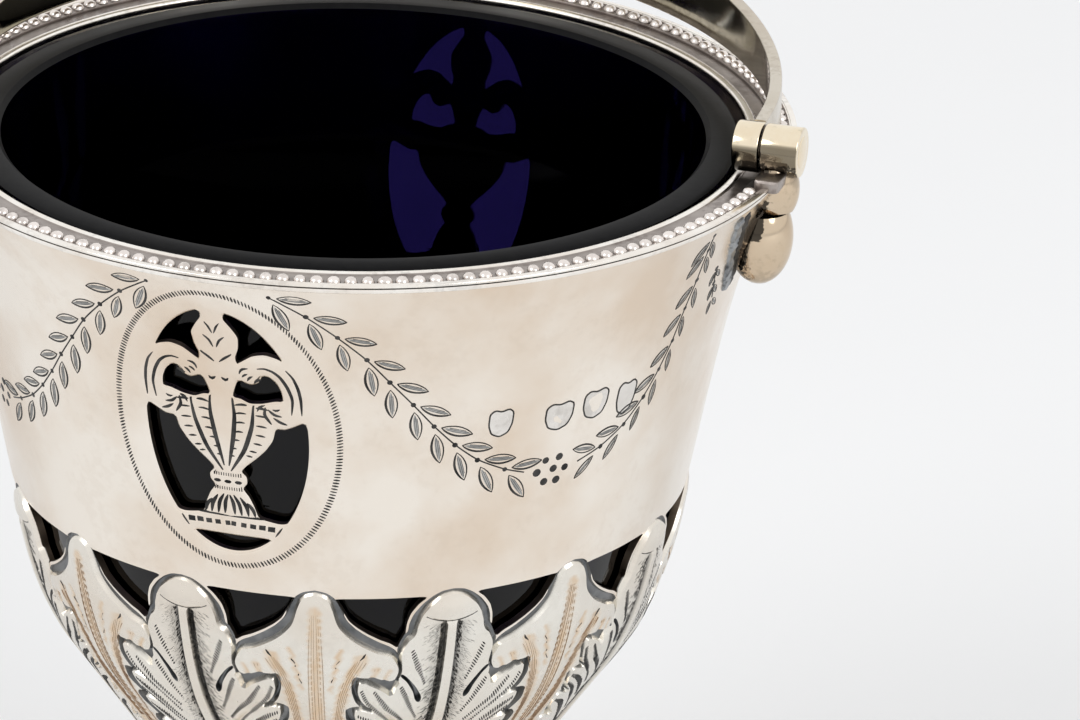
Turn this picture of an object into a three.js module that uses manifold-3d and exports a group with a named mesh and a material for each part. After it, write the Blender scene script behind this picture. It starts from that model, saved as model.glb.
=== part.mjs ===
// A pedestal basket: a pierced silver bowl on a trumpet foot, with a blue glass liner and a swing handle.
// Millimetres, +Z up, the table at z = 0, the hinge line along X and a medallion at -Y and +Y.
import * as THREE from 'three';
import { mergeVertices } from 'three/addons/utils/BufferGeometryUtils.js';
import Module from 'manifold-3d';

const wasm = await Module();
wasm.setup();

// Clearances
const SEAT_GAP = 0.3;           // between pieces that touch or are soldered together
const PIN_CLEARANCE = 0.1;      // round each hinge pin
const REST_GAP = 0.2;           // between the folded handle and the beads it rests on
const LINER_GAP = 0.8;          // round the liner, above its seat
const LINER_SEAT_GAP = 0.35;    // round the liner, where it sits in the bowl

// Bowl: heights run down from the plane of the rim's beads
const RIM_RADIUS = 54.1;        // outer edge of the rim
const SHEET = 0.9;              // thickness of the silver
const BAND_HEIGHT = 45;         // the plain band, down to the tips of the leaves
const BAND_RADIUS = 42.3;       // at the band's lower edge
const LEAF_HEIGHT = 21;         // the steep part of the leaves
const LEAF_RADIUS = 35;         // at its lower end
const CUP_HEIGHT = 16;          // the sloping part of the bowl below that
const CUP_RADIUS = 24.4;        // at its lower end
const BASE_HEIGHT = 9;          // the rounded base
const BASE_RADIUS = 10;         // the flat of the bowl's underside
const BODY_SEGMENTS = 80;

// Foot
const FOOT_HEIGHT = 30;         // from the table to the bowl's underside
const FOOT_RADIUS = 33.6;
const FOOT_WIRE_WIDTH = 3.1;
const FOOT_WIRE_HEIGHT = 2.8;
const FOOT_FLANGE_RISE = 1;     // how much the flange climbs from its edge to the bead row
const STEM_RADIUS = 7;          // the narrow neck
const STEM_DROP = 4;            // from the trumpet's top to the neck
const STEM_TOP_RADIUS = 9;
const STEM_COLLAR_RADIUS = 10;
const STEM_COLLAR_HEIGHT = 2.4;

// Rim
const RIM_LIP = 1.8;            // from the beads' plane down to the bowl's edge
const COLLAR_WIDTH = 4.95;
const COLLAR_THICKNESS = 0.9;
const COLLAR_SINK = 0.6;        // from the beads' plane down to the collar's top
const EDGE_WIRE_WIDTH = 0.75;
const EDGE_WIRE_HEIGHT = 0.95;
const BEAD_INSET = 1.7;         // from the rim's edge in to the bead row
const BEAD_WIDTH = 1.5;
const BEAD_RISE = 0.75;         // of a bead's top above the plane
const BEAD_NECK = 0.5;          // a bead row's size between two beads, as a share of a bead
const BEAD_PITCH = 1.95;

// Piercing and leaves
const LEAVES = 16;
const LEAF_PHASE = 13.05;       // degrees from the front medallion to the first broad leaf
const LEAF_GAP_DROP = 7.8;      // depth of each opening between two leaf tips
const BROAD_LEAF_RELIEF = 0.4;
const RIBBED_LEAF_RELIEF = 0.8;
const OVAL_HALF_WIDTH = 10.05;
const OVAL_MARGIN = 5.5;        // from the pierced oval to the band's upper and lower edge

// Liner
const LINER_RIM_GAP = 1.2;      // from the collar in to the liner's rim
const LINER_SINK = 0.9;
const LINER_TAPER = 0.045;
const LINER_MOUTH_WALL = 3.9;
const LINER_WALL = 3;
const LINER_FLOOR = 3.5;
const LINER_CORNER = 5;

// Hinges
const HANDLE_SETBACK = 3.8;     // from the rim's edge in to the middle of the handle's ends
const KNUCKLE_RADIUS = 3.05;
const KNUCKLE_INWARD = 1.95;    // from the middle of the handle's end to its knuckle's inner face
const KNUCKLE_OUTWARD = 1.25;   // and to its outer face
const LUG_KNUCKLE_LENGTH = 4.55;
const PIN_RADIUS = 1.3;
const PIN_HEAD_RADIUS = 2.1;
const PIN_HEAD_SINK = 0.6;
const PIN_HEAD_DOME = 0.25;
const LUG_PAD_HALF_WIDTH = 5.5;
const LUG_PAD_TOP = 0.9;
const LUG_NECK_REACH = 2.1;     // how far the lug's neck stands out past the rim
const LUG_NECK_HALF_WIDTH = 3.2;
const LUG_NECK_DROP = 4.6;
const DROP_HEIGHT = 9.5;
const DROP_RADIUS = 4;
const DROP_BELLY = 0.36;        // where it is widest, as a share of its height
const DROP_STAND = 0.8;         // how far the drop's middle line lies outside the bowl's face

// Handle
const HANDLE_HEIGHT = 55;       // from the hinge line to the middle of the arch
const HANDLE_LEG = 6.3;         // the straight part of each side
const HANDLE_ROUNDNESS = 1.8;   // exponent of the arch's superellipse
const HANDLE_THICKNESS = 1.55;
const HANDLE_END_WIDTH = 4;
const HANDLE_TOP_WIDTH = 9;
const HANDLE_EDGE = 0.35;
const HANDLE_FOLD = 86.5;       // degrees from upright, folded back

// Places that follow from these sizes
const CUP_TOP = BAND_HEIGHT + LEAF_HEIGHT;
const CUP_END = CUP_TOP + CUP_HEIGHT;
const BODY_DEPTH = CUP_END + BASE_HEIGHT;
const RIM_HEIGHT = FOOT_HEIGHT + BODY_DEPTH;
const BODY_TOP_RADIUS = RIM_RADIUS - EDGE_WIRE_WIDTH;
const BEAD_RADIUS = RIM_RADIUS - BEAD_INSET;
const HINGE_RISE = BEAD_RISE + REST_GAP + HANDLE_END_WIDTH / 2;
const HANDLE_HALF_WIDTH = RIM_RADIUS - HANDLE_SETBACK;
const HANDLE_KNUCKLE_END = HANDLE_HALF_WIDTH + KNUCKLE_OUTWARD;
const LUG_START = HANDLE_KNUCKLE_END + SEAT_GAP;
const LUG_END = LUG_START + LUG_KNUCKLE_LENGTH;
const COLLAR_RADIUS = BODY_TOP_RADIUS - SEAT_GAP;
const COLLAR_INNER_RADIUS = COLLAR_RADIUS - COLLAR_WIDTH;
const LINER_RADIUS = COLLAR_INNER_RADIUS - LINER_RIM_GAP;
const STEM_COLLAR_BOTTOM = FOOT_HEIGHT - SEAT_GAP - STEM_COLLAR_HEIGHT;
const TRUMPET_TOP = STEM_COLLAR_BOTTOM - SEAT_GAP;
const FLANGE_BOTTOM = FOOT_WIRE_HEIGHT + SEAT_GAP;
const OVAL_HALF_HEIGHT = BAND_HEIGHT / 2 - OVAL_MARGIN;
const degrees = THREE.MathUtils.degToRad;

const silver = { color: 0xdcd3c6, metalness: 1, roughness: 0.24 };
const glass = { color: 0x0d0b2a, metalness: 0, roughness: 0.06 };

function material(look) {
  return new THREE.MeshStandardMaterial(look);
}

// Merges a closed geometry's shared vertices, drops its empty triangles and makes a solid of it.
function solid(geometry) {
  geometry.deleteAttribute('normal');
  geometry.deleteAttribute('uv');
  const merged = mergeVertices(geometry, 1e-4);
  const points = merged.attributes.position;
  const corners = merged.index.array;
  const triangles = [];
  let volume = 0;
  const [p, q, r] = [new THREE.Vector3(), new THREE.Vector3(), new THREE.Vector3()];
  for (let i = 0; i < corners.length; i += 3) {
    const [a, b, c] = [corners[i], corners[i + 1], corners[i + 2]];
    if (a === b || b === c || c === a) continue;
    triangles.push([a, b, c]);
    p.fromBufferAttribute(points, a);
    q.fromBufferAttribute(points, b);
    r.fromBufferAttribute(points, c);
    volume += p.dot(q.cross(r));
  }
  const outward = volume > 0 ? triangles : triangles.map((t) => t.reverse());
  return new wasm.Manifold(new wasm.Mesh({
    numProp: 3,
    vertProperties: new Float32Array(points.array),
    triVerts: new Uint32Array(outward.flat()),
  }));
}

function geometryOf(body) {
  const { vertProperties, triVerts } = body.getMesh();
  const geometry = new THREE.BufferGeometry();
  geometry.setAttribute('position', new THREE.BufferAttribute(vertProperties, 3));
  geometry.setIndex(new THREE.BufferAttribute(triVerts, 1));
  geometry.computeVertexNormals();
  return geometry;
}

function piece(name, body, look, parent) {
  const mesh = new THREE.Mesh(geometryOf(body), material(look));
  mesh.name = name;
  parent.add(mesh);
}

// Turns a profile of [radius, height] round Z; it starts and ends on the axis, or closes on itself.
function turned(profile, segments) {
  const outline = profile.map(([radius, height]) => new THREE.Vector2(radius, height));
  if (profile[0][0] > 0) outline.push(outline[0].clone());
  return new THREE.LatheGeometry(outline, segments).rotateX(Math.PI / 2);
}

// A body through a row of sections with the same number of points: a closed ring, or with flat ends.
function lofted(sections, ring) {
  const count = sections[0].length;
  const corners = [];
  const spans = ring ? sections.length : sections.length - 1;
  for (let i = 0; i < spans; i += 1) {
    const near = i * count;
    const far = ((i + 1) % sections.length) * count;
    for (let k = 0; k < count; k += 1) {
      const next = (k + 1) % count;
      corners.push(near + k, near + next, far + next, near + k, far + next, far + k);
    }
  }
  const last = (sections.length - 1) * count;
  for (let k = 1; k < count - 1 && !ring; k += 1) {
    corners.push(0, k + 1, k, last, last + k, last + k + 1);
  }
  const geometry = new THREE.BufferGeometry();
  const points = sections.flat().flatMap((v) => [v.x, v.y, v.z]);
  geometry.setAttribute('position', new THREE.Float32BufferAttribute(points, 3));
  geometry.setIndex(corners);
  return geometry;
}

function box(from, to) {
  const size = to.map((v, i) => v - from[i]);
  const middle = to.map((v, i) => (v + from[i]) / 2);
  return solid(new THREE.BoxGeometry(...size).translate(...middle));
}

// A cylinder along X.
function rod(radius, start, end, segments) {
  const along = new THREE.CylinderGeometry(radius, radius, end - start, segments).rotateZ(Math.PI / 2);
  return solid(along.translate((start + end) / 2, 0, 0));
}

// A smooth curve between two knots [depth, radius, slope].
function eased([d0, r0, s0], [d1, r1, s1], depth) {
  const span = d1 - d0;
  const t = (depth - d0) / span;
  const fromStart = (2 * t ** 3 - 3 * t ** 2 + 1) * r0 + (t ** 3 - 2 * t ** 2 + t) * span * s0;
  return fromStart + (3 * t ** 2 - 2 * t ** 3) * r1 + (t ** 3 - t ** 2) * span * s1;
}

// The bowl's outer radius at a depth below the beads' plane, down to the rounded base.
const KNOTS = [
  [RIM_LIP, BODY_TOP_RADIUS, -0.45],
  [BAND_HEIGHT, BAND_RADIUS, -0.2],
  [CUP_TOP, LEAF_RADIUS, -0.68],
  [CUP_END, CUP_RADIUS, -0.62],
];
function bowlRadius(depth) {
  const above = KNOTS.findIndex((knot) => knot[0] >= depth);
  const i = Math.max(1, above < 0 ? KNOTS.length - 1 : above);
  return eased(KNOTS[i - 1], KNOTS[i], depth);
}

// The radius of its inner face at that depth.
function bowlInside(depth) {
  const slope = bowlRadius(depth + 0.5) - bowlRadius(depth - 0.5);
  return bowlRadius(depth) - SHEET * Math.hypot(1, slope);
}

const steps = (from, to, count) => Array.from({ length: count + 1 }, (_, i) => from + ((to - from) * i) / count);

// The bowl's outer profile as points [radius, depth], from its edge to the middle of its underside.
function bowlProfile(bandSteps, leafSteps, baseSteps) {
  const depths = [...steps(RIM_LIP, BAND_HEIGHT, bandSteps), ...steps(BAND_HEIGHT, CUP_END, leafSteps).slice(1)];
  const base = new THREE.CubicBezierCurve(
    new THREE.Vector2(CUP_RADIUS, CUP_END),
    new THREE.Vector2(CUP_RADIUS * 0.9, CUP_END + BASE_HEIGHT * 0.44),
    new THREE.Vector2((CUP_RADIUS + BASE_RADIUS) / 2, BODY_DEPTH),
    new THREE.Vector2(BASE_RADIUS, BODY_DEPTH),
  );
  const round = base.getPoints(baseSteps).slice(1).map((v) => [v.x, v.y]);
  return [...depths.map((depth) => [bowlRadius(depth), depth]), ...round];
}

// The same profile moved inward by a thickness.
function inset(profile, thickness) {
  return profile.map(([radius, depth], i) => {
    const before = profile[Math.max(i - 1, 0)];
    const after = profile[Math.min(i + 1, profile.length - 1)];
    const [dr, dz] = [after[0] - before[0], after[1] - before[1]];
    const length = Math.hypot(dr, dz);
    return [radius - (thickness * dz) / length, depth + (thickness * dr) / length];
  });
}

const heights = (profile) => profile.map(([radius, depth]) => [radius, RIM_HEIGHT - depth]);

// Raises the leaves on the bowl's outer face: every second leaf stands prouder.
function emboss(geometry) {
  const points = geometry.attributes.position;
  const pitch = 360 / LEAVES;
  const first = -90 + LEAF_PHASE;
  for (let i = 0; i < points.count; i += 1) {
    const [x, y, z] = [points.getX(i), points.getY(i), points.getZ(i)];
    const depth = RIM_HEIGHT - z;
    const radius = Math.hypot(x, y);
    if (depth < BAND_HEIGHT || depth > CUP_END || radius < bowlRadius(depth) - SHEET / 2) continue;
    const turn = (THREE.MathUtils.radToDeg(Math.atan2(y, x)) - first) / pitch;
    const leaf = Math.round(turn);
    const relief = leaf % 2 === 0 ? BROAD_LEAF_RELIEF : RIBBED_LEAF_RELIEF;
    const fade = Math.min(1, (depth - BAND_HEIGHT) / LEAF_GAP_DROP, (CUP_END - depth) / LEAF_GAP_DROP);
    const scale = 1 + (relief * Math.cos(Math.PI * (turn - leaf)) ** 2 * fade) / radius;
    points.setXYZ(i, x * scale, y * scale, z);
  }
  return geometry;
}

// A prism through the bowl's wall, from an outline of [across, height] seen from outside at an azimuth.
function wallCut(outline, azimuth, radius) {
  const shape = new THREE.Shape(outline.map(([across, height]) => new THREE.Vector2(across, height)));
  const depth = radius / 2;
  const prism = new THREE.ExtrudeGeometry(shape, { depth, bevelEnabled: false });
  prism.rotateX(Math.PI / 2).translate(0, depth - radius * 1.25, 0);
  return solid(prism.rotateZ(degrees(azimuth + 90)));
}

// The medallion's openings round the urn, in shares of the oval's half width and half height.
const BESIDE_FINIAL = [
  [0.72, 0.64], [0.58, 0.665], [0.43, 0.645], [0.3, 0.59], [0.23, 0.56], [0.22, 0.62], [0.27, 0.69],
  [0.29, 0.79], [0.21, 0.87], [0.13, 0.935],
];
const IN_URN_HANDLE = [
  [0.22, 0.435], [0.37, 0.395], [0.47, 0.42], [0.52, 0.485], [0.6, 0.48], [0.68, 0.435], [0.735, 0.36],
  [0.745, 0.28], [0.65, 0.28], [0.49, 0.25], [0.34, 0.24], [0.23, 0.275], [0.13, 0.28],
];
const BESIDE_BOWL = [
  [0.59, -0.74], [0.34, -0.71], [0.3, -0.62], [0.24, -0.535], [0.165, -0.475], [0.23, -0.43], [0.23, -0.375],
  [0.16, -0.335], [0.23, -0.285], [0.36, -0.215], [0.48, -0.14], [0.58, -0.05], [0.62, 0.05], [0.735, 0.045],
  [0.855, 0.08], [0.965, 0.115],
];

// Points on the unit oval between two angles from its top.
function ovalArc(from, to, count) {
  return steps(degrees(from), degrees(to), count).map((a) => [Math.sin(a), Math.cos(a)]);
}

function medallionCuts(azimuth) {
  const sides = [
    [...ovalArc(9, 52, 6), ...BESIDE_FINIAL],
    IN_URN_HANDLE,
    [...ovalArc(86, 137, 6), ...BESIDE_BOWL],
  ];
  const mirrored = sides.map((outline) => outline.map(([u, v]) => [-u, v]));
  const outlines = [...sides, ...mirrored, ovalArc(150.5, 209.5, 6)];
  const middle = RIM_HEIGHT - BAND_HEIGHT / 2;
  return outlines.map((outline) => {
    const sized = outline.map(([u, v]) => [u * OVAL_HALF_WIDTH, middle + v * OVAL_HALF_HEIGHT]);
    return wallCut(sized, azimuth, bowlRadius(BAND_HEIGHT / 2));
  });
}

// The opening between two leaf tips: shares of the leaf pitch, and of the opening's depth.
const LEAF_GAP = [
  [0.135, 0.04], [0.187, 0.19], [0.231, 0.4], [0.298, 0.56], [0.378, 0.69], [0.476, 0.82], [0.551, 0.9], [0.611, 1],
  [0.65, 0.78], [0.69, 0.62], [0.71, 0.45], [0.74, 0.28], [0.8, 0.12], [0.86, 0.04],
];

function leafCuts() {
  const pitch = 360 / LEAVES;
  const cuts = [];
  for (let leaf = 0; leaf < LEAVES; leaf += 2) {
    for (const side of [1, -1]) {
      const outline = LEAF_GAP.map(([share, drop]) => [
        side * BAND_RADIUS * Math.sin(degrees((share - 0.5) * pitch)),
        RIM_HEIGHT - BAND_HEIGHT - drop * LEAF_GAP_DROP,
      ]);
      cuts.push(wallCut(outline, -90 + LEAF_PHASE + (leaf + side / 2) * pitch, BAND_RADIUS));
    }
  }
  return cuts;
}

function bowl() {
  const outside = bowlProfile(5, 8, 3);
  const inside = inset(bowlProfile(4, 5, 3), SHEET);
  inside[0] = [BODY_TOP_RADIUS - SHEET, RIM_LIP];
  const profile = [[0, BODY_DEPTH - SHEET], ...inside.reverse(), ...outside, [0, BODY_DEPTH]];
  const shell = turned(heights(profile), BODY_SEGMENTS).rotateZ(degrees(LEAF_PHASE));
  let body = solid(emboss(shell));
  for (const cut of [...medallionCuts(-90), ...medallionCuts(90), ...leafCuts()]) {
    body = body.subtract(cut);
  }
  return body;
}

function liner() {
  const gap = (depth) => LINER_GAP + (LINER_SEAT_GAP - LINER_GAP) * Math.min(1, depth / CUP_TOP);
  const outer = (depth) => Math.min(
    LINER_RADIUS - LINER_TAPER * (depth - LINER_SINK),
    bowlInside(Math.max(depth, RIM_LIP)) - gap(depth),
  );
  const wall = (depth) => LINER_WALL + (LINER_MOUTH_WALL - LINER_WALL) * Math.max(0, 1 - depth / BAND_HEIGHT);
  const side = steps(LINER_SINK, CUP_END - LINER_CORNER, 7).map((depth) => [outer(depth), depth]);
  const turn = CUP_END - LINER_CORNER / 3;
  const floor = CUP_END - LINER_FLOOR;
  const hollow = steps(floor - LINER_CORNER, LINER_SINK, 5).map((depth) => [outer(depth) - wall(depth), depth]);
  const profile = [
    [0, floor],
    [hollow[0][0] - LINER_CORNER, floor],
    [hollow[0][0] - LINER_CORNER / 4, floor - LINER_CORNER / 3],
    ...hollow,
    ...side,
    [outer(turn) - LINER_CORNER / 6, turn],
    [outer(CUP_END) - LINER_CORNER * 0.7, CUP_END],
    [0, CUP_END],
  ];
  return solid(turned(heights(profile), 48));
}

// A rim of rectangular section: inner and outer radius, bottom and top.
function ring(inner, outer, bottom, top, segments) {
  const profile = [[inner, bottom], [outer, bottom], [outer, top], [inner, top]];
  return solid(turned(profile, segments));
}

// A row of beads on a circle, between two azimuths, or right round.
function beads(radius, base, from, to) {
  const closed = to - from >= 360;
  const count = Math.round((degrees(to - from) * radius) / BEAD_PITCH);
  const sections = steps(degrees(from), degrees(to), count * 2).map((azimuth, i) => {
    const swell = i % 2 ? 1 : BEAD_NECK;
    const half = (BEAD_WIDTH / 2) * swell;
    const top = base + (BEAD_RISE + COLLAR_SINK - SEAT_GAP) * swell;
    const at = (r, z) => new THREE.Vector3(r * Math.cos(azimuth), r * Math.sin(azimuth), z);
    return [at(radius - half, base), at(radius + half, base), at(radius, top)];
  });
  return solid(lofted(closed ? sections.slice(0, -1) : sections, closed));
}

function stemCollar() {
  const [bottom, top] = [STEM_COLLAR_BOTTOM, STEM_COLLAR_BOTTOM + STEM_COLLAR_HEIGHT];
  const edge = STEM_COLLAR_HEIGHT / 4;
  const profile = [
    [0, bottom], [STEM_COLLAR_RADIUS - edge, bottom], [STEM_COLLAR_RADIUS, bottom + edge],
    [STEM_COLLAR_RADIUS, top - edge], [STEM_COLLAR_RADIUS - edge, top], [0, top],
  ];
  return solid(turned(profile, 32));
}

// The foot's outer profile, from its neck to the flange's edge.
function trumpetCurve() {
  const flangeTop = FLANGE_BOTTOM + SHEET;
  const edge = FOOT_RADIUS - FOOT_WIRE_WIDTH / 5;
  const neck = TRUMPET_TOP - STEM_DROP;
  return new THREE.CubicBezierCurve(
    new THREE.Vector2(STEM_RADIUS, neck),
    new THREE.Vector2(STEM_RADIUS, flangeTop + (neck - flangeTop) * 0.4),
    new THREE.Vector2(edge * 0.6, flangeTop + FOOT_FLANGE_RISE),
    new THREE.Vector2(edge, flangeTop),
  );
}

function trumpet() {
  const curve = trumpetCurve().getPoints(7).map((v) => [v.x, v.y]);
  const outside = [[STEM_TOP_RADIUS, TRUMPET_TOP], [STEM_TOP_RADIUS, TRUMPET_TOP - STEM_DROP / 3], ...curve];
  const inside = curve.map(([radius, height], i) => {
    const [a, b] = [curve[Math.max(i - 1, 0)], curve[Math.min(i + 1, curve.length - 1)]];
    const [dr, dz] = [b[0] - a[0], b[1] - a[1]];
    const length = Math.hypot(dr, dz);
    return [radius + (SHEET * dz) / length, height - (SHEET * dr) / length];
  });
  inside[inside.length - 1] = [curve[curve.length - 1][0], FLANGE_BOTTOM];
  const profile = [[0, TRUMPET_TOP], ...outside, ...inside.reverse(), [0, TRUMPET_TOP - STEM_DROP]];
  return solid(turned(profile, 48));
}

function footWire() {
  const inner = FOOT_RADIUS - FOOT_WIRE_WIDTH;
  const edge = FOOT_WIRE_HEIGHT / 4;
  const profile = [
    [inner, 0], [FOOT_RADIUS - edge, 0], [FOOT_RADIUS, edge], [FOOT_RADIUS, FOOT_WIRE_HEIGHT - edge],
    [FOOT_RADIUS - edge, FOOT_WIRE_HEIGHT], [inner, FOOT_WIRE_HEIGHT],
  ];
  return solid(turned(profile, 48));
}

// The space that the rim and the bowl take up, with a seat's gap round it.
function rimEnvelope() {
  const depths = steps(RIM_LIP, BAND_HEIGHT / 2, 5);
  const wall = depths.map((depth) => [bowlRadius(depth) + SEAT_GAP, depth]);
  const inner = COLLAR_INNER_RADIUS - HANDLE_SETBACK;
  const edge = RIM_RADIUS + SEAT_GAP;
  const profile = [
    [inner, COLLAR_SINK - SEAT_GAP], [COLLAR_RADIUS, COLLAR_SINK - SEAT_GAP],
    [COLLAR_RADIUS, -SEAT_GAP], [edge, -SEAT_GAP], [edge, EDGE_WIRE_HEIGHT + SEAT_GAP],
    ...wall, [inner, BAND_HEIGHT / 2],
  ];
  return solid(turned(heights(profile), BODY_SEGMENTS));
}

function lug() {
  const hinge = RIM_HEIGHT + HINGE_RISE;
  const ridge = RIM_HEIGHT - LUG_NECK_DROP;
  const bore = rod(PIN_RADIUS + PIN_CLEARANCE, LUG_START - 1, LUG_END + 1, 24).translate(0, 0, hinge);
  const sink = rod(PIN_HEAD_RADIUS + SEAT_GAP, LUG_END - PIN_HEAD_SINK - SEAT_GAP, LUG_END + 1, 28);
  const neck = new THREE.SphereGeometry(1, 20, 12).scale(
    RIM_RADIUS + LUG_NECK_REACH - LUG_START,
    LUG_NECK_HALF_WIDTH,
    HINGE_RISE + LUG_NECK_DROP / 4,
  );
  const below = box([0, -LUG_PAD_HALF_WIDTH, ridge - DROP_HEIGHT], [2 * RIM_RADIUS, LUG_PAD_HALF_WIDTH, ridge]);
  const inward = box([0, -LUG_PAD_HALF_WIDTH, ridge], [LUG_START, LUG_PAD_HALF_WIDTH, hinge + KNUCKLE_RADIUS]);
  return rod(KNUCKLE_RADIUS, LUG_START, LUG_END, 28).translate(0, 0, hinge)
    .add(box(
      [LUG_START, -LUG_PAD_HALF_WIDTH, RIM_HEIGHT - COLLAR_SINK],
      [RIM_RADIUS + LUG_PAD_TOP, LUG_PAD_HALF_WIDTH, RIM_HEIGHT + LUG_PAD_TOP],
    ))
    .add(solid(neck.translate(LUG_START, 0, RIM_HEIGHT - LUG_NECK_DROP / 4)))
    .subtract(rimEnvelope())
    .subtract(below)
    .subtract(inward)
    .subtract(bore)
    .subtract(sink.translate(0, 0, hinge));
}

function lugDrop() {
  const top = RIM_HEIGHT - LUG_NECK_DROP - SEAT_GAP;
  const egg = steps(0, 1, 8).map((t) => {
    const share = Math.sqrt(Math.max(0, 1 - ((t - DROP_BELLY) / (1 - DROP_BELLY)) ** 2));
    return [t === 1 ? 0 : DROP_RADIUS * share, top - DROP_HEIGHT * t];
  });
  const middle = bowlRadius(LUG_NECK_DROP + DROP_HEIGHT * DROP_BELLY) + DROP_STAND;
  const body = solid(turned([[0, top], ...egg], 24).translate(middle, 0, 0));
  return body.subtract(rimEnvelope());
}

function hingePin() {
  const inner = HANDLE_HALF_WIDTH - KNUCKLE_INWARD + SEAT_GAP;
  const seat = LUG_END - PIN_HEAD_SINK;
  const profile = [
    [0, inner], [PIN_RADIUS, inner], [PIN_RADIUS, seat], [PIN_HEAD_RADIUS, seat], [PIN_HEAD_RADIUS, LUG_END],
    [PIN_HEAD_RADIUS * 0.7, LUG_END + PIN_HEAD_DOME * 0.7], [0, LUG_END + PIN_HEAD_DOME],
  ];
  const pin = solid(turned(profile, 24).rotateY(Math.PI / 2));
  return pin.translate(0, 0, RIM_HEIGHT + HINGE_RISE);
}

// The handle's arch stands upright in its own frame, with the hinge line as its X axis.
function handleBow() {
  const arch = steps(0, Math.PI, 40).map((t) => {
    const across = Math.sign(Math.cos(t)) * Math.abs(Math.cos(t)) ** (2 / HANDLE_ROUNDNESS);
    const up = Math.sin(t) ** (2 / HANDLE_ROUNDNESS);
    return new THREE.Vector2(HANDLE_HALF_WIDTH * across, HANDLE_LEG + (HANDLE_HEIGHT - HANDLE_LEG) * up);
  });
  const line = [new THREE.Vector2(HANDLE_HALF_WIDTH, 0), ...arch, new THREE.Vector2(-HANDLE_HALF_WIDTH, 0)];
  const sections = line.map((point, i) => {
    const along = line[Math.min(i + 1, line.length - 1)].clone().sub(line[Math.max(i - 1, 0)]).normalize();
    const width = HANDLE_END_WIDTH + ((HANDLE_TOP_WIDTH - HANDLE_END_WIDTH) * point.y) / HANDLE_HEIGHT;
    const [t, w] = [HANDLE_THICKNESS / 2, width / 2];
    const outline = [
      [t, w - HANDLE_EDGE], [t - HANDLE_EDGE, w], [HANDLE_EDGE - t, w], [-t, w - HANDLE_EDGE],
      [-t, HANDLE_EDGE - w], [HANDLE_EDGE - t, -w], [t - HANDLE_EDGE, -w], [t, HANDLE_EDGE - w],
    ];
    return outline.map(([out, y]) => new THREE.Vector3(point.x + along.y * out, y, point.y - along.x * out));
  });
  const reach = RIM_RADIUS + HANDLE_SETBACK;
  return solid(lofted(sections, false)).subtract(rod(KNUCKLE_RADIUS + SEAT_GAP, -reach, reach, 32));
}

function handleKnuckle() {
  const [start, end] = [HANDLE_HALF_WIDTH - KNUCKLE_INWARD, HANDLE_KNUCKLE_END];
  return rod(KNUCKLE_RADIUS, start, end, 28).subtract(rod(PIN_RADIUS + PIN_CLEARANCE, start - 1, end + 1, 24));
}

const basket = new THREE.Group();
const plane = RIM_HEIGHT;
piece('body_shell', bowl(), silver, basket);
piece('glass_liner', liner(), glass, basket);
const collarTop = plane - COLLAR_SINK;
piece('rim_collar', ring(COLLAR_INNER_RADIUS, COLLAR_RADIUS, collarTop - COLLAR_THICKNESS, collarTop, 72), silver, basket);
piece('rim_edge_wire', ring(BODY_TOP_RADIUS, RIM_RADIUS, plane - EDGE_WIRE_HEIGHT, plane, 72), silver, basket);
const beadEnd = THREE.MathUtils.radToDeg(Math.asin((LUG_PAD_HALF_WIDTH + SEAT_GAP) / BEAD_RADIUS));
const beadBase = collarTop + SEAT_GAP;
piece('rim_bead_wire_front', beads(BEAD_RADIUS, beadBase, beadEnd - 180, -beadEnd), silver, basket);
piece('rim_bead_wire_back', beads(BEAD_RADIUS, beadBase, beadEnd, 180 - beadEnd), silver, basket);

piece('stem_collar', stemCollar(), silver, basket);
piece('foot_trumpet', trumpet(), silver, basket);
const footBeadRadius = FOOT_RADIUS - BEAD_INSET;
const footBeadBase = FLANGE_BOTTOM + SHEET + SEAT_GAP * 2;
piece('foot_bead_wire', beads(footBeadRadius, footBeadBase, 0, 360), silver, basket);
piece('foot_rim_wire', footWire(), silver, basket);

const handle = new THREE.Group();
handle.position.set(0, 0, RIM_HEIGHT + HINGE_RISE);
handle.rotation.x = -degrees(HANDLE_FOLD);
basket.add(handle);
piece('handle_bow', handleBow(), silver, handle);

for (const [side, turn] of [['right', 0], ['left', 180]]) {
  piece(`hinge_lug_${side}`, lug().rotate([0, 0, turn]), silver, basket);
  piece(`lug_drop_${side}`, lugDrop().rotate([0, 0, turn]), silver, basket);
  piece(`hinge_pin_${side}`, hingePin().rotate([0, 0, turn]), silver, basket);
  piece(`handle_knuckle_${side}`, handleKnuckle().rotate([0, 0, turn]), silver, handle);
}

export default basket;
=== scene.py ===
import math

import bpy
import numpy as np
from mathutils import Matrix, Vector
from mathutils.geometry import delaunay_2d_cdt


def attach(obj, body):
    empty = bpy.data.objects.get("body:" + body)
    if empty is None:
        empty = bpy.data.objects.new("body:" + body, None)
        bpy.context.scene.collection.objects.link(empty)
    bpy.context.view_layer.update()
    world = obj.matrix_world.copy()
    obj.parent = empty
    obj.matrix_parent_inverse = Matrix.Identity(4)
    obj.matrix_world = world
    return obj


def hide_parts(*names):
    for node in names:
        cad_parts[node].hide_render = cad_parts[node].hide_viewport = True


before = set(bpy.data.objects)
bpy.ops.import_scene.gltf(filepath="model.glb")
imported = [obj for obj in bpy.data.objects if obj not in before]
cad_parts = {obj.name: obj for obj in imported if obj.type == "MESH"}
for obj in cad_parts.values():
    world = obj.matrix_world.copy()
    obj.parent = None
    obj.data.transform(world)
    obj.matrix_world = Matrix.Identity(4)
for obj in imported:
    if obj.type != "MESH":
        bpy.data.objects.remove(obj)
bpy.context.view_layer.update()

# Sizes are in millimetres. A depth runs down from the plane of the rim's beads.
MM = 0.001
RIM_HEIGHT = 121.0
SHEET = 0.9
# The engraving's strips reach from a little inside the silver to a hair outside it.
SUNK, LIFT = -0.06, 0.03
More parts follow.
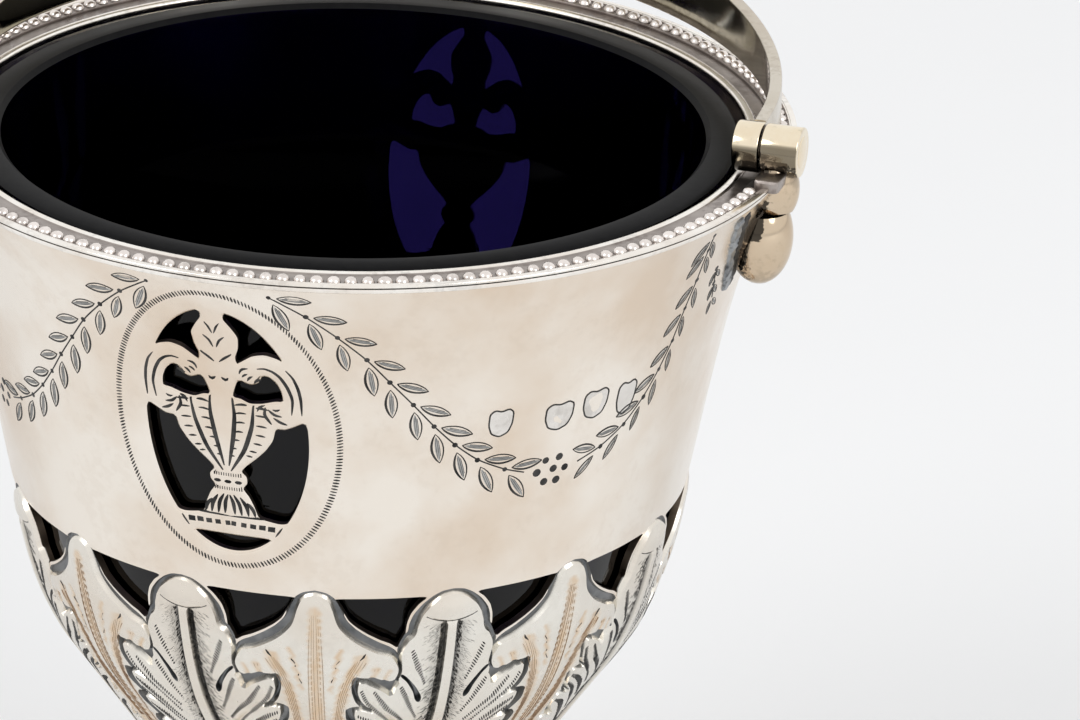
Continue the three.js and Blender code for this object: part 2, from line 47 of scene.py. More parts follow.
# The bowl's face is laid out as a flat plane that keeps all angles, UNIT long for each radian.
UNIT = 40.0

rng = np.random.default_rng(7)


def smooth(t):
    """From 0 to 1 as t goes from 0 to 1, without corners."""
    t = np.clip(t, 0.0, 1.0)
    return t * t * (3.0 - 2.0 * t)


# Numbers of segments round the rings, the glass and the hinges' parts.
RING_TURNS, GLASS_TURNS, HINGE_TURNS = 256, 192, 64

# The bowl's outer face: knots of depth, radius and slope, then a rounded base.
KNOTS = ((1.8, 53.35, -0.45), (45.0, 42.3, -0.2), (66.0, 35.0, -0.68), (82.0, 24.4, -0.62))
BASE = ((24.4, 82.0), (21.96, 85.96), (17.2, 91.0), (10.0, 91.0))


def bowl_radius(depth):
    """The outer face's radius down to the last knot."""
    depth = np.asarray(depth, float)
    radius = np.zeros_like(depth)
    for i, (start, end) in enumerate(zip(KNOTS, KNOTS[1:])):
        span = end[0] - start[0]
        t = (depth - start[0]) / span
        value = (2 * t**3 - 3 * t**2 + 1) * start[1] + (t**3 - 2 * t**2 + t) * span * start[2]
        value += (3 * t**2 - 2 * t**3) * end[1] + (t**3 - t**2) * span * end[2]
        radius = value if i == 0 else np.where(depth > start[0], value, radius)
    return radius


def bezier(points, t):
    """Points of a cubic curve through its first and last point."""
    a, b, c, d = (np.array(p, float) for p in points)
    t = np.asarray(t)[:, None]
    return a * (1 - t) ** 3 + 3 * b * t * (1 - t) ** 2 + 3 * c * t**2 * (1 - t) + d * t**3


def meridian():
    """Rows of plane height, radius, depth and outward normal down the bowl's outer face."""
    depth = np.linspace(KNOTS[0][0], KNOTS[-1][0], 700)
    base = bezier(BASE, np.linspace(0, 1, 140))[1:]
    radius = np.concatenate([bowl_radius(depth), base[:, 0]])
    depth = np.concatenate([depth, base[:, 1]])
    length = np.hypot(np.diff(radius), np.diff(depth))
    angle = length / ((radius[1:] + radius[:-1]) / 2)
    level = -UNIT * np.concatenate([[0], np.cumsum(angle)])
    down, out = np.gradient(depth), np.gradient(radius)
    size = np.hypot(down, out)
    return level, radius, depth, down / size, out / size


LEVEL, RADIUS, DEPTH, *NORMAL = meridian()
LOWEST = LEVEL[-1]


def level_at(depth):
    """The flat plane's height at a depth."""
    return np.interp(depth, DEPTH, LEVEL)


def on_plane(places):
    """Places of azimuth in degrees and height from the beads' plane, as points of the flat plane."""
    places = np.asarray(places, float)
    return np.stack([UNIT * np.radians(places[:, 0]), level_at(-places[:, 1])], 1)


def radius_at(level):
    """The bowl's radius at a height of the flat plane."""
    return np.interp(-level, -LEVEL, RADIUS)


def wall(plane, lift):
    """The points of the bowl's outer face at places of the plane, moved out by a lift."""
    rows = (RADIUS, DEPTH, *NORMAL)
    radius, depth, out, up = (np.interp(-plane[:, 1], -LEVEL, row) for row in rows)
    azimuth = plane[:, 0] / UNIT
    reach = radius + lift * out
    return np.stack([reach * np.cos(azimuth), reach * np.sin(azimuth), RIM_HEIGHT - depth + lift * up], 1)


# Outlines

def chaikin(points, closed, cuts):
    """A row of points with its corners cut, once for each share."""
    points = np.asarray(points, float)
    for cut in cuts:
        ahead = np.roll(points, -1, axis=0)
        near, far = points * (1 - cut) + ahead * cut, points * cut + ahead * (1 - cut)
        softer = np.stack([near, far], 1).reshape(-1, 2)
        points = softer if closed else np.concatenate([points[:1], softer[1:-3], points[-1:]])
    return points


def lengths(points):
    """How far along a row of points each of them is."""
    return np.concatenate([[0], np.cumsum(np.hypot(*np.diff(points, axis=0).T))])


def resampled(points, spacing, closed):
    """Evenly spaced points along a row of points."""
    if closed:
        points = np.concatenate([points, points[:1]])
    length = lengths(points)
    count = max(2, int(round(length[-1] / spacing)))
    at = np.linspace(0, length[-1], count + 1)
    result = np.stack([np.interp(at, length, points[:, k]) for k in (0, 1)], 1)
    return result[:-1] if closed else result


def even_curve(points, spacing, closed=False, cuts=(0.17, 0.25)):
    """A smooth line or outline of evenly spaced points, from a row of points."""
    return resampled(chaikin(points, closed, cuts), spacing, closed)


def rightward(path, closed=False):
    """Directions to the right of a path, at each of its points."""
    if closed:
        along = np.roll(path, -1, axis=0) - np.roll(path, 1, axis=0)
    else:
        along = np.gradient(path, axis=0)
    along /= np.maximum(np.hypot(*along.T), 1e-9)[:, None]
    return np.stack([along[:, 1], -along[:, 0]], 1)


def mirrored(half):
    """A closed outline from its right half, which starts and ends on the axis or beside it."""
    left = half[::-1] * (-1, 1)
    keep = np.abs(left[:, 0]) > 1e-9
    return np.concatenate([half, left[keep]])


def inside(points, outline):
    """Whether points are inside an outline."""
    result = np.zeros(len(points), bool)
    x, y = points.T
    for (ax, ay), (bx, by) in zip(outline, np.roll(outline, -1, axis=0)):
        if ay == by:
            continue
        crossing = (ay > y) != (by > y)
        result ^= crossing & (x < (bx - ax) * (y - ay) / (by - ay) + ax)
    return result


def distance(points, outline, closed=True):
    """How far points are from an outline."""
    ends = np.roll(outline, -1, axis=0) if closed else outline[1:]
    starts = outline if closed else outline[:-1]
    best = np.full(len(points), 1e9)
    for a, b in zip(starts, ends):
        along = b - a
        size = along @ along
        t = np.clip(((points - a) @ along) / max(size, 1e-12), 0, 1)
        gap = points - a - t[:, None] * along
        best = np.minimum(best, np.einsum("ij,ij->i", gap, gap))
    return np.sqrt(best)


def offset_row(outline, reach):
    """Points at a distance from an outline: inside it when it runs clockwise and the reach is positive."""
    row = outline + reach * rightward(outline, True)
    return row[distance(row, outline) > abs(reach) * 0.93]


# Meshes

def add_object(name, points, faces, materials, index=None, sharp=32.0):
    """A smooth mesh of points in millimetres, sharp only at edges over an angle in degrees."""
    mesh = bpy.data.meshes.new(name)
    corners = [tuple(int(i) for i in face) for face in faces]
    mesh.from_pydata((np.asarray(points, float) * MM).tolist(), [], corners)
    for material in materials:
        mesh.materials.append(material)
    mesh.polygons.foreach_set("use_smooth", np.ones(len(mesh.polygons), bool))
    if index is not None:
        mesh.polygons.foreach_set("material_index", np.asarray(index, np.int32))
    mesh.update()
    mesh.set_sharp_from_angle(angle=math.radians(sharp))
    obj = bpy.data.objects.new(name, mesh)
    bpy.context.scene.collection.objects.link(obj)
    return obj


def mark_points(obj, key, values):
    """Gives each point a number that the object's material reads."""
    layer = obj.data.attributes.new(key, "FLOAT", "POINT")
    layer.data.foreach_set("value", np.asarray(values, float))


def dress(obj, body, slot, *nodes):
    """Puts an object under the empty of the body that carries it and hides the CAD nodes it stands for; the
    slot, which would name its finish, is not used.
    """
    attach(obj, body)
    if nodes:
        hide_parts(*nodes)
    return obj


def silver_piece(name, mesh, material, *nodes):
    """Points and faces as one silver piece of the basket."""
    return dress(add_object(name, *mesh, [material]), "basket", "silver", *nodes)


def block(left, low, right, high):
    """The four corners of a rectangle."""
    return [(left, low), (right, low), (right, high), (left, high)]


def rounded(corners, radius, closed=True, count=4):
    """A profile with its corners rounded; a third number in a corner is its own radius."""
    result = []
    total = len(corners)
    for i, corner in enumerate(corners):
        point = np.array(corner[:2], float)
        if not closed and i in (0, total - 1):
            result.append(point)
            continue
        before = np.array(corners[i - 1][:2], float) - point
        after = np.array(corners[(i + 1) % total][:2], float) - point
        own = corner[2] if len(corner) > 2 else radius
        reach = min(own, np.hypot(*before) / 2.1, np.hypot(*after) / 2.1)
        start, end = point + before / np.hypot(*before) * reach, point + after / np.hypot(*after) * reach
        for t in np.linspace(0, 1, count + 1):
            result.append(start * (1 - t) ** 2 + 2 * point * t * (1 - t) + end * t**2)
    return np.array(result)


def quads(rows, count, wrap):
    """Faces between rows that are closed rings of one count of points."""
    faces = []
    for i in range(rows if wrap else rows - 1):
        near, far = i * count, ((i + 1) % rows) * count
        for k in range(count):
            n = (k + 1) % count
            faces.append((near + k, near + n, far + n, far + k))
    return faces


def lathe_mesh(profile, segments):
    """Points and faces of a profile of radius and height turned round Z: a ring, or closed on the axis."""
    profile = np.asarray(profile, float)
    ring = profile[0, 0] > 1e-6
    turns = np.linspace(0, 2 * math.pi, segments, endpoint=False)
    rows = profile if ring else profile[1:-1]
    points = [[(r * math.cos(a), r * math.sin(a), z) for a in turns] for r, z in rows]
    points = np.array(points).reshape(-1, 3)
    faces = quads(len(rows), segments, ring)
    if not ring:
        first, last = len(points), len(points) + 1
        points = np.concatenate([points, [(0, 0, profile[0, 1]), (0, 0, profile[-1, 1])]])
        end = (len(rows) - 1) * segments
        for k in range(segments):
            n = (k + 1) % segments
            faces.append((first, n, k))
            faces.append((last, end + k, end + n))
    return points, outward(points, faces)


def outward(points, faces):
    """The faces of one closed body, turned outwards."""
    volume = 0.0
    for face in faces:
        a = points[face[0]]
        for i in range(1, len(face) - 1):
            volume += a @ np.cross(points[face[i]], points[face[i + 1]])
    return faces if volume > 0 else [face[::-1] for face in faces]


def lofted_mesh(sections):
    """Points and faces through a row of closed sections, with flat ends."""
    count = len(sections[0])
    points = np.concatenate(sections)
    faces = quads(len(sections), count, False)
    end = (len(sections) - 1) * count
    faces.append(tuple(range(count))[::-1])
    faces.append(tuple(range(end, end + count)))
    return points, outward(points, faces)


def along_x(points):
    """Turns a body made round Z so that it lies along X, in the hinges' line."""
    return np.stack([points[:, 2], points[:, 1], HINGE - points[:, 0]], 1)


def joined(parts):
    """Several meshes of points and faces as one."""
    points, faces, start = [], [], 0
    for some, theirs in parts:
        points.append(np.asarray(some, float))
        faces.extend(tuple(i + start for i in face) for face in theirs)
        start += len(some)
    return np.concatenate(points), faces


# Materials

def new_material(name):
    material = bpy.data.materials.new(name)
    material.use_nodes = True
    tree = material.node_tree
    place = tree.nodes.new("ShaderNodeTexCoord").outputs["Object"]
    return material, tree, tree.nodes["Principled BSDF"], place


def noise(tree, place, scale, detail, stretch=None, roughness=0.55):
    if stretch:
        mapping = tree.nodes.new("ShaderNodeMapping")
        mapping.inputs["Scale"].default_value = stretch
        tree.links.new(place, mapping.inputs["Vector"])
        place = mapping.outputs["Vector"]
    node = tree.nodes.new("ShaderNodeTexNoise")
    node.inputs["Scale"].default_value = scale
    node.inputs["Detail"].default_value = detail
    node.inputs["Roughness"].default_value = roughness
    tree.links.new(place, node.inputs["Vector"])
    return node.outputs["Fac"]


def ramp(tree, value, *stops):
    """A colour for each value, between stops of position and colour."""
    node = tree.nodes.new("ShaderNodeValToRGB")
    elements = node.color_ramp.elements
    while len(elements) < len(stops):
        elements.new(0.5)
    for element, (position, colour) in zip(elements, stops):
        element.position = position
        element.color = (*colour, 1.0)
    tree.links.new(value, node.inputs["Fac"])
    return node.outputs["Color"]


def ranged(tree, value, low, high, start=0.0, end=1.0):
    """A value that goes from low to high while another goes from start to end."""
    node = tree.nodes.new("ShaderNodeMapRange")
    for key, number in (("From Min", start), ("From Max", end), ("To Min", low), ("To Max", high)):
        node.inputs[key].default_value = number
    tree.links.new(value, node.inputs["Value"])
    return node.outputs["Result"]


def mixed(tree, factor, first, second):
    """The first colour, or as much of the second as a factor says."""
    node = tree.nodes.new("ShaderNodeMix")
    node.data_type = "RGBA"
    tree.links.new(factor, node.inputs["Factor"])
    tree.links.new(first, node.inputs[6])
    node.inputs[7].default_value = (*second, 1.0)
    return node.outputs[2]


def bumped(tree, shader, *layers):
    """Chains bump layers of value, strength and distance in metres."""
    normal = None
    for value, strength, reach in layers:
        node = tree.nodes.new("ShaderNodeBump")
        node.inputs["Strength"].default_value = strength
        node.inputs["Distance"].default_value = reach
        tree.links.new(value, node.inputs["Height"])
        if normal:
            tree.links.new(normal, node.inputs["Normal"])
        normal = node.outputs["Normal"]
    tree.links.new(normal, shader.inputs["Normal"])


def point_mark(tree, key):
    node = tree.nodes.new("ShaderNodeAttribute")
    node.attribute_name = key
    return node.outputs["Fac"]


def computed(tree, operation, *values):
    """A sum, product or the like of sockets and numbers."""
    node = tree.nodes.new("ShaderNodeMath")
    node.operation = operation
    for socket, value in zip(node.inputs, values):
        if isinstance(value, float):
            socket.default_value = value
        else:
            tree.links.new(value, socket)
    return node.outputs[0]


# Colours: a tan stain, painted grey shade, a painted dark olive reflection, and near black for pits that also
# paint dark reflections.
TAN, SHADE = (0.70, 0.54, 0.38), (0.075, 0.075, 0.075)
DARK_REFLECTION, SOOT_AND_REFLECTION = (0.115, 0.095, 0.065), (0.035, 0.03, 0.024)
# Dirt and painted shade in recesses, as a reach in metres and a colour.
RIM_DIRT_AND_SHADE = (0.0009, (0.2, 0.165, 0.145))
BEAD_DIRT_AND_SHADE = (0.0008, (0.14, 0.12, 0.11))
RING_DIRT_AND_SHADE = (0.0009, (0.12, 0.1, 0.09))
HINGE_DIRT_AND_SHADE = (0.0009, (0.07, 0.055, 0.045))


def metal(name, pale, warm, dark, rough, clouds=55.0, spots=0.0, grain=0.00001, dented=0.25, marked=False,
          sooty_and_reflecting=False, recess=None):
    """Old silver: clouds of two tones, tarnished spots, grime and painted shade in recesses, and a fine worn
    surface.
    """
    material, tree, shader, place = new_material(name)
    shader.inputs["Metallic"].default_value = 1.0
    cloud = noise(tree, place, clouds, 5.0)
    colour = ramp(tree, cloud, (0.38, pale), (0.62, warm))
    if spots:
        speck = noise(tree, place, 900.0, 3.0)
        patch = noise(tree, place, 140.0, 4.0)
        both = computed(tree, "MULTIPLY", speck, patch)
        colour = mixed(tree, ranged(tree, both, 0.0, spots, 0.27, 0.36), colour, dark)
    if marked:
        fibres = noise(tree, place, 900.0, 3.0, (1.0, 1.0, 0.12))
        streaks = ranged(tree, fibres, 0.6, 1.0, 0.35, 0.6)
        tan = computed(tree, "MULTIPLY", point_mark(tree, "tan"), streaks)
        colour = mixed(tree, tan, colour, TAN)
        # Painted grey shade beside the ribbed leaf's midrib.
        colour = mixed(tree, point_mark(tree, "shade"), colour, SHADE)
    if sooty_and_reflecting:
        # Painted olive reflection on the hinges' tubes.
        colour = mixed(tree, point_mark(tree, "painted_reflection"), colour, DARK_REFLECTION)
        # Black pits where the mark is high; the same mark paints dark reflections on the hinges and the
        # drops.
        pits = noise(tree, place, 1500.0, 4.0, None, 0.7)
        soot_and_reflection = computed(tree, "MULTIPLY_ADD", point_mark(tree, "soot_and_reflection"), 0.5, pits)
        colour = mixed(tree, ranged(tree, soot_and_reflection, 0.0, 0.95, 0.72, 0.8), colour, SOOT_AND_REFLECTION)
    if recess:
        reach, dirt_and_shade = recess
        # Darker in recesses by ambient occlusion: grime and painted shade.
        hollow = tree.nodes.new("ShaderNodeAmbientOcclusion")
        hollow.samples = 8
        hollow.inputs["Distance"].default_value = reach
        colour = mixed(tree, ranged(tree, hollow.outputs["AO"], 0.85, 0.0, 0.25, 0.8), colour, dirt_and_shade)
    tree.links.new(colour, shader.inputs["Base Color"])
    wear = noise(tree, place, 260.0, 6.0)
    tree.links.new(ranged(tree, wear, rough[0], rough[1], 0.3, 0.7), shader.inputs["Roughness"])
    scratches = noise(tree, place, 1500.0, 3.0, (1.0, 1.0, 0.25))
    dents = noise(tree, place, 70.0, 2.0)
    bumped(tree, shader, (dents, dented, 0.0004), (scratches, 0.2, grain))
    return material


silver = metal("silver_polished", (0.86, 0.80, 0.72), (0.73, 0.61, 0.49), (0.6, 0.5, 0.4),
               (0.17, 0.27), 40.0, 0.12)
leaf_silver = metal("silver_leaf", (0.79, 0.765, 0.705), (0.73, 0.67, 0.59), (0.5, 0.46, 0.4),
                    (0.2, 0.32), spots=0.1, marked=True)
# A dark grey copy of silver for the grooves cut inside the openings' edges: it paints their dark reflections.
cut_dark_reflection = metal("silver_cut_dark_reflection", (0.115, 0.12, 0.125), (0.21, 0.215, 0.22), (0.05, 0.05, 0.05),
                   (0.3, 0.5), 300.0)
engraved = metal("silver_engraved", (0.03, 0.03, 0.03), (0.08, 0.078, 0.075), (0.02, 0.02, 0.02),
                 (0.4, 0.6), 500.0)
brown_lines = metal("silver_brown", (0.3, 0.2, 0.13), (0.4, 0.29, 0.19), (0.1, 0.08, 0.05),
                    (0.4, 0.6), 500.0)
pierced_edge = metal("silver_pierced", (0.24, 0.19, 0.145), (0.14, 0.11, 0.085), (0.1, 0.08, 0.05),
                     (0.25, 0.4), 300.0)
rim_silver = metal("silver_rim", (0.92, 0.89, 0.84), (0.84, 0.78, 0.71), (0.2, 0.17, 0.15),
                   (0.13, 0.22), 160.0, 0.2, recess=RIM_DIRT_AND_SHADE)
bead_silver = metal("silver_beads", (0.88, 0.82, 0.78), (0.76, 0.70, 0.66), (0.2, 0.17, 0.15),
                    (0.2, 0.3), 400.0, 0.3, recess=BEAD_DIRT_AND_SHADE)
leaf_grey = metal("silver_leaf_grey", (0.33, 0.33, 0.32), (0.47, 0.465, 0.45), (0.15, 0.15, 0.15),
                  (0.3, 0.45), 500.0)
shield_silver = metal("silver_shield", (0.80, 0.77, 0.73), (0.70, 0.67, 0.63), (0.4, 0.37, 0.33),
                      (0.2, 0.35), 300.0, 0.3)
# A darker copy of the rim's silver for the collar's flat top, the beads' bed and the lugs' pads: painted
# shade and tarnishing in recesses.
rim_ground_shade = metal("silver_ground_shade", (0.37, 0.33, 0.305), (0.29, 0.255, 0.235), (0.14, 0.11, 0.1),
                   (0.25, 0.4), 300.0, 0.5, recess=RING_DIRT_AND_SHADE)
handle_silver = metal("silver_handle", (0.64, 0.59, 0.51), (0.56, 0.5, 0.415), (0.3, 0.24, 0.18),
                      (0.16, 0.26), 90.0, 0.2, dented=0.1)
# A darker copy of the handle's silver for the bow's inner side: it paints that side's shade and dark
# reflections.
handle_inner_shade = metal("silver_handle_inner_shade", (0.40, 0.37, 0.30), (0.30, 0.27, 0.2), (0.12, 0.1, 0.07),
                     (0.05, 0.12), 60.0, 0.3, dented=0.12)
lug_silver = metal("silver_cast", (0.88, 0.79, 0.62), (0.80, 0.66, 0.47), (0.06, 0.05, 0.04),
                   (0.08, 0.16), 90.0, 0.2, dented=0.12, sooty_and_reflecting=True, recess=HINGE_DIRT_AND_SHADE)
drop_silver = metal("silver_drop", (0.64, 0.525, 0.39), (0.56, 0.43, 0.30), (0.06, 0.05, 0.04),
                    (0.08, 0.16), 90.0, 0.2, dented=0.12, sooty_and_reflecting=True, recess=HINGE_DIRT_AND_SHADE)
solder = metal("solder", (0.20, 0.21, 0.22), (0.34, 0.35, 0.355), (0.02, 0.02, 0.02),
               (0.25, 0.45), 500.0, 0.9, 0.00006)


def glass_material(name, ground):
    """Dark blue glass, or the dull black of its ground rim."""
    material, tree, shader, place = new_material(name)
    shader.inputs["Transmission Weight"].default_value = 0.0 if ground else 1.0
    shader.inputs["IOR"].default_value = 1.5
    film = noise(tree, place, 60.0, 3.0)
    if ground:
        speckle = noise(tree, place, 700.0, 5.0)
        colour = ramp(tree, speckle, (0.3, (0.0045, 0.0045, 0.005)), (0.7, (0.0075, 0.0075, 0.008)))
        shader.inputs["Specular IOR Level"].default_value = 0.06
        tree.links.new(ranged(tree, film, 0.3, 0.45), shader.inputs["Roughness"])
        bumped(tree, shader, (noise(tree, place, 1800.0, 4.0), 0.4, 0.00002))
    else:
        shader.inputs["Specular IOR Level"].default_value = 0.08
        shader.inputs["Specular Tint"].default_value = (0.4, 0.4, 0.4, 1.0)
        colour = ramp(tree, film, (0.3, (0.0062, 0.0042, 0.036)), (0.7, (0.0072, 0.0048, 0.042)))
        tree.links.new(ranged(tree, film, 0.02, 0.06), shader.inputs["Roughness"])
        bumped(tree, shader, (noise(tree, place, 25.0, 2.0), 0.15, 0.0006))
    tree.links.new(colour, shader.inputs["Base Color"])
    return material


blue_glass = glass_material("blue_glass", False)
ground_glass = glass_material("ground_glass", True)


# Pieces that repeat are scattered by Geometry Nodes and then made plain meshes.

def scatter_tree():
    """Copies of one object at points that carry a turn and a size, all in one finish."""
    tree = bpy.data.node_groups.new("scatter", "GeometryNodeTree")
    for name, kind in (("Geometry", "Geometry"), ("Shape", "Object"), ("Finish", "Material")):
        tree.interface.new_socket(name, in_out="INPUT", socket_type="NodeSocket" + kind)
    tree.interface.new_socket("Geometry", in_out="OUTPUT", socket_type="NodeSocketGeometry")
    new, link = tree.nodes.new, tree.links.new
    start, end = new("NodeGroupInput"), new("NodeGroupOutput")
    shape, place = new("GeometryNodeObjectInfo"), new("GeometryNodeInstanceOnPoints")
    real, paint = new("GeometryNodeRealizeInstances"), new("GeometryNodeSetMaterial")
    link(start.outputs["Shape"], shape.inputs["Object"])
    link(start.outputs["Geometry"], place.inputs["Points"])
    link(shape.outputs["Geometry"], place.inputs["Instance"])
    for key, socket in (("turn", "Rotation"), ("size", "Scale")):
        value = new("GeometryNodeInputNamedAttribute")
        value.data_type = "FLOAT_VECTOR"
        value.inputs["Name"].default_value = key
        link(value.outputs["Attribute"], place.inputs[socket])
    link(place.outputs["Instances"], real.inputs["Geometry"])
    link(real.outputs["Geometry"], paint.inputs["Geometry"])
    link(start.outputs["Finish"], paint.inputs["Material"])
    link(paint.outputs["Geometry"], end.inputs["Geometry"])
    return tree


SCATTER = scatter_tree()


def scatter(name, shape, places, material, *nodes):
    """A silver piece of the basket made of copies of one mesh, at places of position, axes and size."""
    source = add_object(name + "_shape", *shape, [material])
    mesh = bpy.data.meshes.new(name)
    mesh.from_pydata([(np.array(position) * MM).tolist() for position, _, _ in places], [], [])
    turns = [tuple(Matrix(np.asarray(axes).tolist()).to_euler("XYZ")) for _, axes, _ in places]
    sizes = [size if np.ndim(size) else (size, size, size) for _, _, size in places]
    for key, values in (("turn", turns), ("size", sizes)):
        layer = mesh.attributes.new(key, "FLOAT_VECTOR", "POINT")
        layer.data.foreach_set("vector", np.array(values, float).ravel())
    holder = bpy.data.objects.new(name, mesh)
    bpy.context.scene.collection.objects.link(holder)
    modifier = holder.modifiers.new("scatter", "NODES")
    modifier.node_group = SCATTER
    chosen = {"Shape": source, "Finish": material}
    for item in SCATTER.interface.items_tree:
        if item.name in chosen:
            modifier[item.identifier] = chosen[item.name]
    graph = bpy.context.evaluated_depsgraph_get()
    made = bpy.data.meshes.new_from_object(holder.evaluated_get(graph), depsgraph=graph)
    holder.modifiers.clear()
    holder.data = made
    made.name = name
    if "turn" in made.attributes:
        made.attributes.remove(made.attributes["turn"])
    bpy.data.objects.remove(source)
    return dress(holder, "basket", "silver", *nodes)


def wall_frame(place, heading, lift):
    """Position and axes on the bowl at a place of the plane: X along the heading, Z outwards."""
    step = 0.01
    near = wall(np.array([place, place + step * np.array([math.cos(heading), math.sin(heading)])]), lift)
    x = near[1] - near[0]
    x /= np.linalg.norm(x)
    out = wall(np.array([place]), lift + 1.0)[0] - near[0]
    out /= np.linalg.norm(out)
    y = np.cross(out, x)
    y /= np.linalg.norm(y)
    return near[0], np.stack([x, y, np.cross(x, y)], 1)


# Camera: a long lens, 23 degrees above the horizon, on the upper right quarter of the basket.
YAW, ELEVATION, ROLL = 0.2866, 0.4032, 0.0262
CAMERA_PLACE = (216.0, -650.0, 381.4)
LENS, SENSOR = 200.0, 36.0


def add_camera():
    """The camera, turned by its yaw, elevation and roll."""
    flat = math.cos(ELEVATION)
    back = Vector((math.sin(YAW) * flat, -math.cos(YAW) * flat, math.sin(ELEVATION)))
    level = Vector((math.cos(YAW), math.sin(YAW), 0))
    rise = level.cross(-back)
    right = math.cos(ROLL) * level + math.sin(ROLL) * rise
    up = -math.sin(ROLL) * level + math.cos(ROLL) * rise
    lens = bpy.data.cameras.new("camera")
    lens.lens = LENS
    lens.sensor_width = SENSOR
    lens.clip_start = 0.01
    camera = bpy.data.objects.new("camera", lens)
    turn = Matrix((right, up, back)).transposed().to_4x4()
    camera.matrix_world = Matrix.Translation(Vector(CAMERA_PLACE) * MM) @ turn
    bpy.context.scene.collection.objects.link(camera)
    bpy.context.scene.camera = camera


add_camera()


# The calyx: leaf outlines as degrees from the leaf's axis and height from the beads' plane.
BROAD_AXIS = -76.95
# Eight equal sectors, each from one broad leaf's axis to the next, with a ribbed leaf in its middle.
SECTORS, SECTOR = 8, 45.0
SECTOR_WIDTH = UNIT * math.radians(SECTOR)
MIDDLE = SECTOR_WIDTH / 2
# The depth where the calyx's mesh meets the plain band's, and the number of steps along that seam.
CALYX_TOP, COLUMNS = 43.0, 64
# Distances in the plane: between an outline's points, between the inner face's, and from an opening.
ROW_SPACING, COARSE, HOLE_GAP = 0.34, 2.2, 0.1
# How wide the cuts' edges are, and how deep the ribbed leaf's lip lies.
CUT_EDGE, LIP_DEPTH = 0.18, 48.5
BROAD_EDGE = (
    (0, -43.9), (1.9, -44.2), (3.3, -45.0), (4.25, -46.4), (5.1, -48.1), (6.7, -49.4), (8.5, -50.4),
    (10.7, -51.4), (12.4, -52.0), (13.75, -52.8), (14.6, -55), (16, -58), (17, -64), (17, -80), (0, -80),
)
RIBBED_EDGE = (
    (0, -44.25), (1.8, -44.4), (3.4, -45.05), (5.0, -46.1), (6.4, -47.5), (7.0, -48.8), (7.15, -50.0),
    (8.0, -50.5), (8.6, -51.5), (8.8, -52.6), (8.5, -54.4), (8.3, -56.0), (10.5, -58.5), (12.5, -62),
    (13, -67), (12.5, -73), (10, -81.5), (0, -81.5),
)
GAP = (
    (3.1, -45.0), (3.75, -45.75), (4.6, -46.9), (5.5, -48.2), (6.9, -49.2), (8.6, -50.1), (10.8, -51.05),
    (12.5, -51.6), (13.8, -52.35), (14.35, -51.4), (15.0, -50.4), (15.0, -49.6), (15.15, -48.6),
    (15.7, -47.3), (16.95, -46.0), (18.6, -45.0),
)
# The lip below the ribbed leaf's plain top.
LIP = (
    (-5.0, -47.35), (-4.0, -47.85), (-2.7, -48.17), (-0.9, -48.47), (0.9, -48.47), (2.7, -48.17),
    (4.0, -47.85), (5.0, -47.35),
)
# Widths in millimetres of the grey cut inside the openings' edges: by degrees from the broad leaf's axis, and
# by depth on the ribbed leaf.
BROAD_CUT = (
    (0, 0.42), (2.5, 0.42), (4.2, 0.7), (5.5, 1.0), (8, 1.15), (11.5, 1.1), (12.8, 0.9), (13.8, 0.5),
    (14.4, 0.12), (17, 0.1),
)
RIBBED_CUT = (
    (44, 0.38), (46, 0.48), (48, 0.75), (50, 0.7), (51.5, 0.6), (52.5, 0.35), (53.5, 0.14), (82, 0.1),
)
# The side leaflets on the ribbed leaf's right, and the grey cuts behind their tips.
LEAFLETS = (
    (
        (3.4, -65.0), (4.6, -61.2), (5.4, -59.8), (6.3, -58.0), (7.8, -56.6), (9.0, -57.8), (9.4, -59.2),
        (9.9, -58.7), (11.0, -58.1), (12.2, -57.6), (13.8, -56.95), (15.5, -56.85), (15.75, -58.6),
        (15.0, -60.2), (12.3, -62.3), (8.0, -65.5), (4.0, -69),
    ),
    (
        (3.0, -69.0), (6.0, -65.5), (9.0, -63.2), (12.0, -61.9), (14.5, -61.4), (16.0, -61.4),
        (16.2, -62.5), (15.6, -63.9), (14.0, -65.2), (11.5, -66.6), (8.0, -69.5), (4.0, -73.5),
    ),
    (
        (2.6, -73.0), (6.0, -69.6), (9.0, -67.3), (12.2, -66.0), (14.6, -65.5), (16.2, -65.6),
        (16.4, -66.6), (15.6, -67.9), (13.6, -69.2), (11.0, -70.6), (7.5, -73.5), (3.6, -77),
    ),
    (
        (2.4, -77.0), (6.0, -73.2), (9.5, -70.9), (12.5, -69.9), (14.9, -69.5), (16.3, -69.8),
        (16.3, -70.8), (15.4, -72.0), (13.2, -73.2), (10.5, -74.6), (7.0, -77.2), (3.4, -80.5),
    ),
    (
        (2.2, -81.0), (6.0, -77.4), (9.5, -75.0), (12.5, -74.0), (14.9, -73.6), (16.0, -74.0),
        (16.0, -75.0), (15.0, -76.4), (12.6, -77.8), (9.5, -79.4), (6.5, -81.5), (3.0, -81.9),
    ),
)
